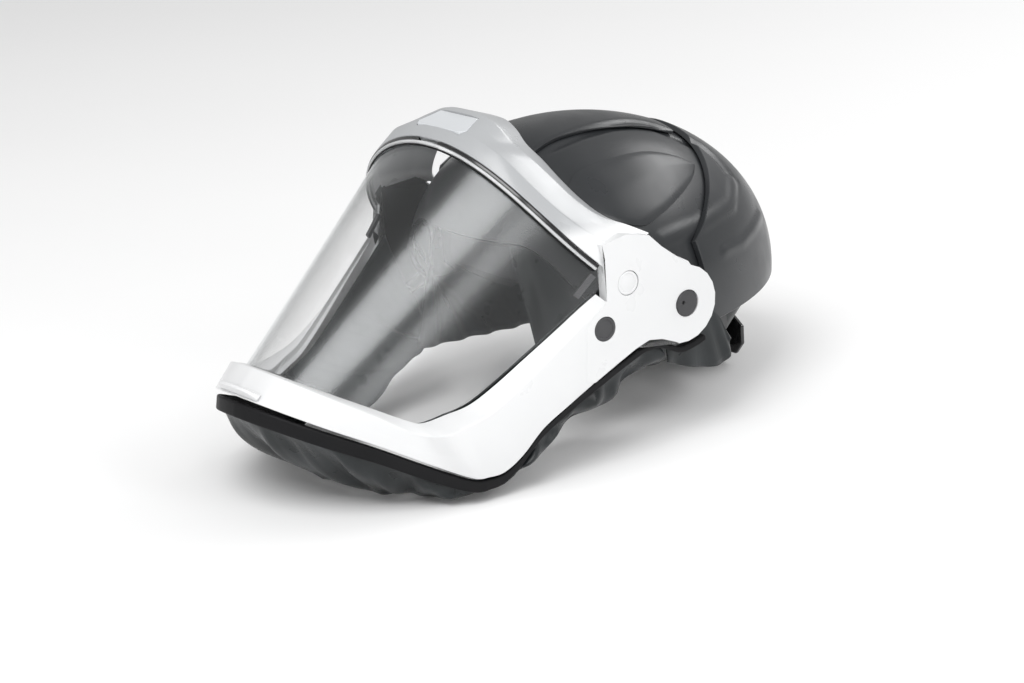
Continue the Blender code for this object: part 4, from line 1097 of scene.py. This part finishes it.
def dome_grid(name, point, rows, columns, looks, node):
    """Cover on the dome with its lines pressed in. point(u, v, off) is in the design frame."""
    top = []
    bottom = []
    for i in range(rows + 1):
        u = i / rows
        top_row = []
        bottom_row = []
        for j in range(columns + 1):
            v = j / columns
            plain = point(u, v, None)
            top_row.append(point(u, v, relief(plain)))
            bottom_row.append(point(u, v, -9.0))
        top.append(top_row)
        bottom.append(bottom_row)
    made = finish_piece(name, slab(top, bottom), looks["shell"], "helmet", (node,))
    return soften(made, 0.5)


def shell_dome(looks):
    """Hollow dome with an open rim, in a grid of turns and rises."""
    turns = [360.0 * k / DOME_TURNS for k in range(DOME_TURNS)]
    starts = [rise_at(turn, rim_height(turn)) for turn in turns]
    rows = []
    inner = []
    for i in range(DOME_RISES + 1):
        share = i / DOME_RISES
        row = []
        row_inner = []
        for turn, start in zip(turns, starts):
            rise = start + (89.5 - start) * share
            plain = dome(turn, rise)
            row.append(dome(turn, rise, min(relief(plain), 0.9)))
            row_inner.append(dome(turn, rise, -SHELL_WALL))
        rows.append(row)
        inner.append(row_inner)
    bm = bmesh.new()
    skins = []
    for grid in (rows, inner):
        made = [[bm.verts.new(p) for p in row] for row in grid]
        for low, high in zip(made, made[1:]):
            for k in range(DOME_TURNS):
                j = (k + 1) % DOME_TURNS
                bm.faces.new((low[k], low[j], high[j], high[k]))
        bm.faces.new(made[-1])
        skins.append(made)
    for k in range(DOME_TURNS):
        j = (k + 1) % DOME_TURNS
        bm.faces.new((skins[0][0][k], skins[0][0][j], skins[1][0][j], skins[1][0][k]))
    return finish_piece("shell_dome", bm, looks["shell"], "helmet", ("helmet_shell",))


def shell_covers(looks):
    def crown(u, v, off):
        y = -50.0 + 128.0 * u
        half = 27.0 - 3.0 * u + 4.0 * u ** 3
        raised = 3.4 if off is None else max(GAP, 3.4 + off)
        return dome_from_top(half * (2.0 * v - 1.0), y, raised)

    def rear(u, v, off):
        turn, top = rear_edge(v)
        bottom = rise_at(turn, RIM_SIDE_Z + 1.0)
        raised = 4.4 if off is None else max(0.8, 4.4 + off)
        return dome(turn, bottom + (top - bottom) * u, raised)

    dome_grid("crown_ridge", crown, 60, 30, looks, "crown_cover")
    dome_grid("rear_shell", rear, 60, 120, looks, "rear_housing")
    for sign, label in ((1, "left"), (-1, "right")):
        leaf_panel(sign, label, looks)


def leaf_panel(sign, label, looks):
    """Leaf shaped panel on the side of the shell, with a crease along its middle."""
    upper = spline(LEAF_UPPER, 8)
    lower = spline(LEAF_LOWER, 8)
    layers = ([], [])
    for (ya, za), (yb, zb) in zip(upper, lower):
        rows = ([], [])
        for j in range(25):
            v = j / 24.0
            edge = min(v, 1.0 - v) * 2.0
            crown = 1.0 - abs(v - 0.42) / 0.58
            high = 0.7 + 1.1 * min(edge * 5.0, 1.0) * (0.4 + 0.6 * max(crown, 0.0))
            for off, row in ((high, rows[0]), (GAP, rows[1])):
                found = dome_from_side(ya + (yb - ya) * v, za + (zb - za) * v, off)
                row.append(Vector((sign * found.x, found.y, found.z)))
        layers[0].append(rows[0])
        layers[1].append(rows[1])
    finish_piece("leaf_" + label, slab(*layers), looks["shell"], "helmet",
                 ("side_panel_" + label,))


def round_parts(looks):
    """Caps and plugs with eased, slightly domed faces."""
    for sign, label in ((1, "left"), (-1, "right")):
        r = CAP_RADIUS
        cap = [(0.0, -1.2), (r, -1.2), (r, 0.5), (r - 0.25, 0.95), (r - 0.9, 1.2), (r * 0.5, 1.3),
               (0.0, 1.32)]
        disc = moved(turned(cap, 72), on_side(sign, 0.0, 0.0, 0.4), (sign, 0, 0))
        made = finish_piece("pivot_disc_" + label, disc, looks["dark"], "visor",
                            ("pivot_cap_" + label,))
        cut(made, bored(on_side(sign, -3.6, 1.2, -0.9), (sign, 0, 0), 1.25, 1.2))
        r = PLUG_RADIUS
        plug = [(0.0, -1.5), (r, -1.5), (r, 0.9), (r - 0.2, 1.3), (r - 0.8, 1.5), (r - 1.6, 1.5),
                (r - 1.9, 1.2), (r - 2.2, 1.35), (0.0, 1.45)]
        for name, node, spot, inset, look, slot_name in (
                ("port_disc_", "port_plug_", PORT_PLACE, 1.0, "dark", "dark_plastic"),
                ("round_disc_", "round_plug_", ROUND_PLACE, 1.3, "white", "white_plastic")):
            disc = moved(turned(plug, 72), on_side(sign, *spot, inset), side_axis(sign))
            finish_piece(name + label, disc, looks[look], "visor", (node + label,))


def brow_panel(looks):
    made = finish_piece("brow_panel", loft(badge_rings(0.0, -2.2, 0.8)), looks["badge"], "visor",
                        ("brow_badge",))
    return soften(made, 0.5, 3)


def chin_lip(looks):
    rings = []
    steps = 28
    for k in range(steps + 1):
        share = 2.0 * k / steps - 1.0
        phi = 10.0 * share
        reach = 5.0 * (1.0 - share ** 4) + 0.8
        w = CHIN_OUTER_W - CHIN_OUTER_DROP * phi ** 2
        rings.append([cone(phi, w - 6.0, 9.0), cone(phi, w - 4.0, 9.0 + reach),
                      cone(phi, w - 2.0, 9.2 + reach), cone(phi, w - 1.0, 9.0)])
    made = finish_piece("chin_lip", loft(rings), looks["white"], "visor", ("chin_tab",))
    return soften(made, 0.6, 3)


# ---------------------------------------------------------------- harness

def webbing_strap(name, turn, top, looks):
    """Crown strap: flat webbing with a raised edge along each side."""
    steps = 72
    start = band_point(turn, BAND_WALL + 1.1, 10.0)
    end = mirrored([start])[0]
    edge = band_tangent(turn)
    points = []
    for k in range(steps + 1):
        angle = math.pi * k / steps
        height = start.z + (top - start.z) * math.sin(angle)
        points.append(Vector((start.x * math.cos(angle), start.y, height)))
    points[-1] = end
    profile = ((-1.0, 0.0), (1.0, 0.0), (1.0, 1.0), (0.86, 1.0), (0.8, 0.8), (-0.8, 0.8), (-0.86, 1.0),
               (-1.0, 1.0))
    rings = []
    for k, point in enumerate(points):
        across = 2.0 * k / steps - 1.0
        width = Vector((-edge.x * across, edge.y, 0.0)).lerp(Vector((0.0, 1.0, 0.0)), 1.0 - across ** 2)
        width = width.normalized() * STRAP_WIDTH / 2.0
        path = points[min(k + 1, steps)] - points[max(k - 1, 0)]
        if k in (0, steps):
            path = Vector((0.0, 0.0, 1.0 if k == 0 else -1.0))
        out = width.cross(path).normalized() * STRAP_THICKNESS
        rings.append([point + width * a + out * b for a, b in profile])
    finish_piece(name + "_webbing", loft(rings), looks["webbing"], "helmet", (name,))


def brow_pad(looks):
    """Foam sweatband inside the headband, quilted by cross seams."""
    rings = []
    steps = 150
    around = 18
    for k in range(steps + 1):
        turn = -145.0 + 110.0 * k / steps
        seam = 0.55 + 0.45 * abs(math.sin(math.pi * k / 15.0)) ** 0.4
        end = min(k, steps - k) / 4.0
        seam *= min(0.35 + 0.65 * end, 1.0)
        ring = []
        for j in range(around):
            angle = 2.0 * math.pi * j / around
            c = math.cos(angle)
            s = math.sin(angle)
            high = 15.0 * math.copysign(abs(s) ** 0.5, s)
            deep = -GAP - 2.0 + 2.0 * math.copysign(abs(c) ** 0.6, c) * (1.0 if c > 0 else seam)
            ring.append(band_point(turn, deep, high))
        rings.append(ring)
    made = finish_piece("brow_pad", loft(rings), looks["foam"], "helmet", ("sweatband",), 180.0)


def nape_cushion(looks):
    """Crowned foam pad on the inside of the size adjuster."""
    rear = band_point(90.0, 0.0, 0.0)
    outline = spline([(-18, -15), (0, -15.5), (18, -15), (23, -6), (23, 8), (17, 15), (0, 15.5),
                      (-17, 15), (-23, 8), (-23, -6), (-18, -15)], 6)[:-1]
    rings = []
    for share, depth in ((0.2, -14.3), (1.0, -14.3), (1.0, -16.5), (0.97, -18.0), (0.88, -19.2),
                         (0.66, -19.8), (0.3, -20.0)):
        rings.append([Vector((x * share, rear.y + depth, rear.z + z * share)) for x, z in outline])
    made = finish_piece("nape_cushion", loft(rings), looks["foam"], "helmet", ("nape_pad",), 60.0)


def finned_knob(looks):
    """Size knob with deep grip fins round its edge and a dished face."""
    rear = band_point(90.0, 0.0, 0.0)
    steps = 288
    profile = ((0.0, 7.6), (0.9, 7.6), (1.0, 8.4), (1.0, 15.2), (0.965, 16.4), (0.9, 17.0), (0.8, 17.0),
               (0.74, 16.4), (0.3, 16.0), (0.0, 15.9))
    rings = []
    for k in range(steps):
        angle = 2.0 * math.pi * k / steps
        groove = max(math.cos(24.0 * angle), 0.0) ** 0.7
        ring = []
        for share, y in profile:
            radius = share * KNOB_RADIUS - (1.5 * groove if share > 0.85 else 0.0)
            ring.append((radius * math.cos(angle), y, radius * math.sin(angle)))
        rings.append(ring)
    finish_piece("finned_knob", ribbed(rings, rear), looks["gloss"], "adjuster",
                 ("ratchet_knob",))


def dress_cad(looks):
    """Finishes for the CAD nodes that are shown as they are."""
    slots = {entry["node"]: entry["material_slot"] for entry in frame["record"]["subparts"]}
    table = {"white_plastic": looks["white"], "shell_grey": looks["shell"], "dark_plastic": looks["dark"],
             "gloss_black": looks["gloss"], "harness_plastic": looks["harness"], "rubber": looks["rubber"],
             "fabric": looks["fabric"], "foam": looks["foam"], "webbing": looks["webbing"],
             "clear": looks["lens"], "steel": steel_material()}
    for node, slot_name in slots.items():
        made = bpy.data.objects[node]
        for index in range(len(made.material_slots)):
            made.material_slots[index].link = "OBJECT"
            made.material_slots[index].material = table[slot_name]


# ---------------------------------------------------------------- studio

def add_camera():
    data = bpy.data.cameras.new("camera")
    data.lens = CAMERA_LENS
    data.sensor_width = 36.0
    data.clip_end = 30.0
    made = bpy.data.objects.new("camera", data)
    rotation = Matrix((CAMERA_RIGHT, CAMERA_UP, CAMERA_BACK)).transposed().to_4x4()
    made.matrix_world = Matrix.Translation(place(CAMERA_PLACE)) @ rotation
    bpy.context.scene.collection.objects.link(made)
    bpy.context.scene.camera = made


def area_light(name, spot, size, power):
    data = bpy.data.lights.new(name, "AREA")
    data.shape = "RECTANGLE"
    data.size = size[0]
    data.size_y = size[1]
    data.energy = power
    made = bpy.data.objects.new(name, data)
    made.location = spot
    made.rotation_euler = (Vector(LIGHT_TARGET) - Vector(spot)).to_track_quat("-Z", "Y").to_euler()
    bpy.context.scene.collection.objects.link(made)


def studio():
    """Pale flat floor, soft light from above, both sides and behind, and an even white surround."""
    bm = bmesh.new()
    bmesh.ops.create_grid(bm, x_segments=24, y_segments=24, size=FLOOR_HALF)
    mesh = bpy.data.meshes.new("studio_floor")
    bm.to_mesh(mesh)
    bm.free()
    floor = bpy.data.objects.new("studio_floor", mesh)
    paper, tree, shader = finish_material("studio_paper", (0.93, 0.93, 0.93), 0.9)
    tint(tree, shader, noise(tree, 3.0), (0.925, 0.925, 0.925), (0.935, 0.935, 0.935))
    mesh.materials.append(paper)
    bpy.context.scene.collection.objects.link(floor)
    for light in LIGHTS:
        area_light(*light)
    world = bpy.data.worlds.new("studio_air")
    world.use_nodes = True
    background = world.node_tree.nodes["Background"]
    background.inputs["Color"].default_value = (1.0, 1.0, 1.0, 1.0)
    background.inputs["Strength"].default_value = SURROUND_LIGHT
    bpy.context.scene.world = world
    bpy.context.scene.view_settings.view_transform = "Standard"


def build():
    add_camera()
    looks = make_finishes()
    dress_cad(looks)
    visor_body(looks)
    lens_sheet(looks)
    lens_lip(looks)
    brow_panel(looks)
    chin_lip(looks)
    rail_bead(looks)
    chin_fabric(looks)
    cheek_fabric(looks)
    for sign, label in ((1, "left"), (-1, "right")):
        ear_fabric(sign, label, looks)
        neck_curtain(sign, label, looks)
    round_parts(looks)
    shell_dome(looks)
    shell_covers(looks)
    webbing_strap("crown_strap_front", -38.0, 61.0, looks)
    webbing_strap("crown_strap_rear", 30.0, 56.0, looks)
    brow_pad(looks)
    nape_cushion(looks)
    finned_knob(looks)
    studio()


build()
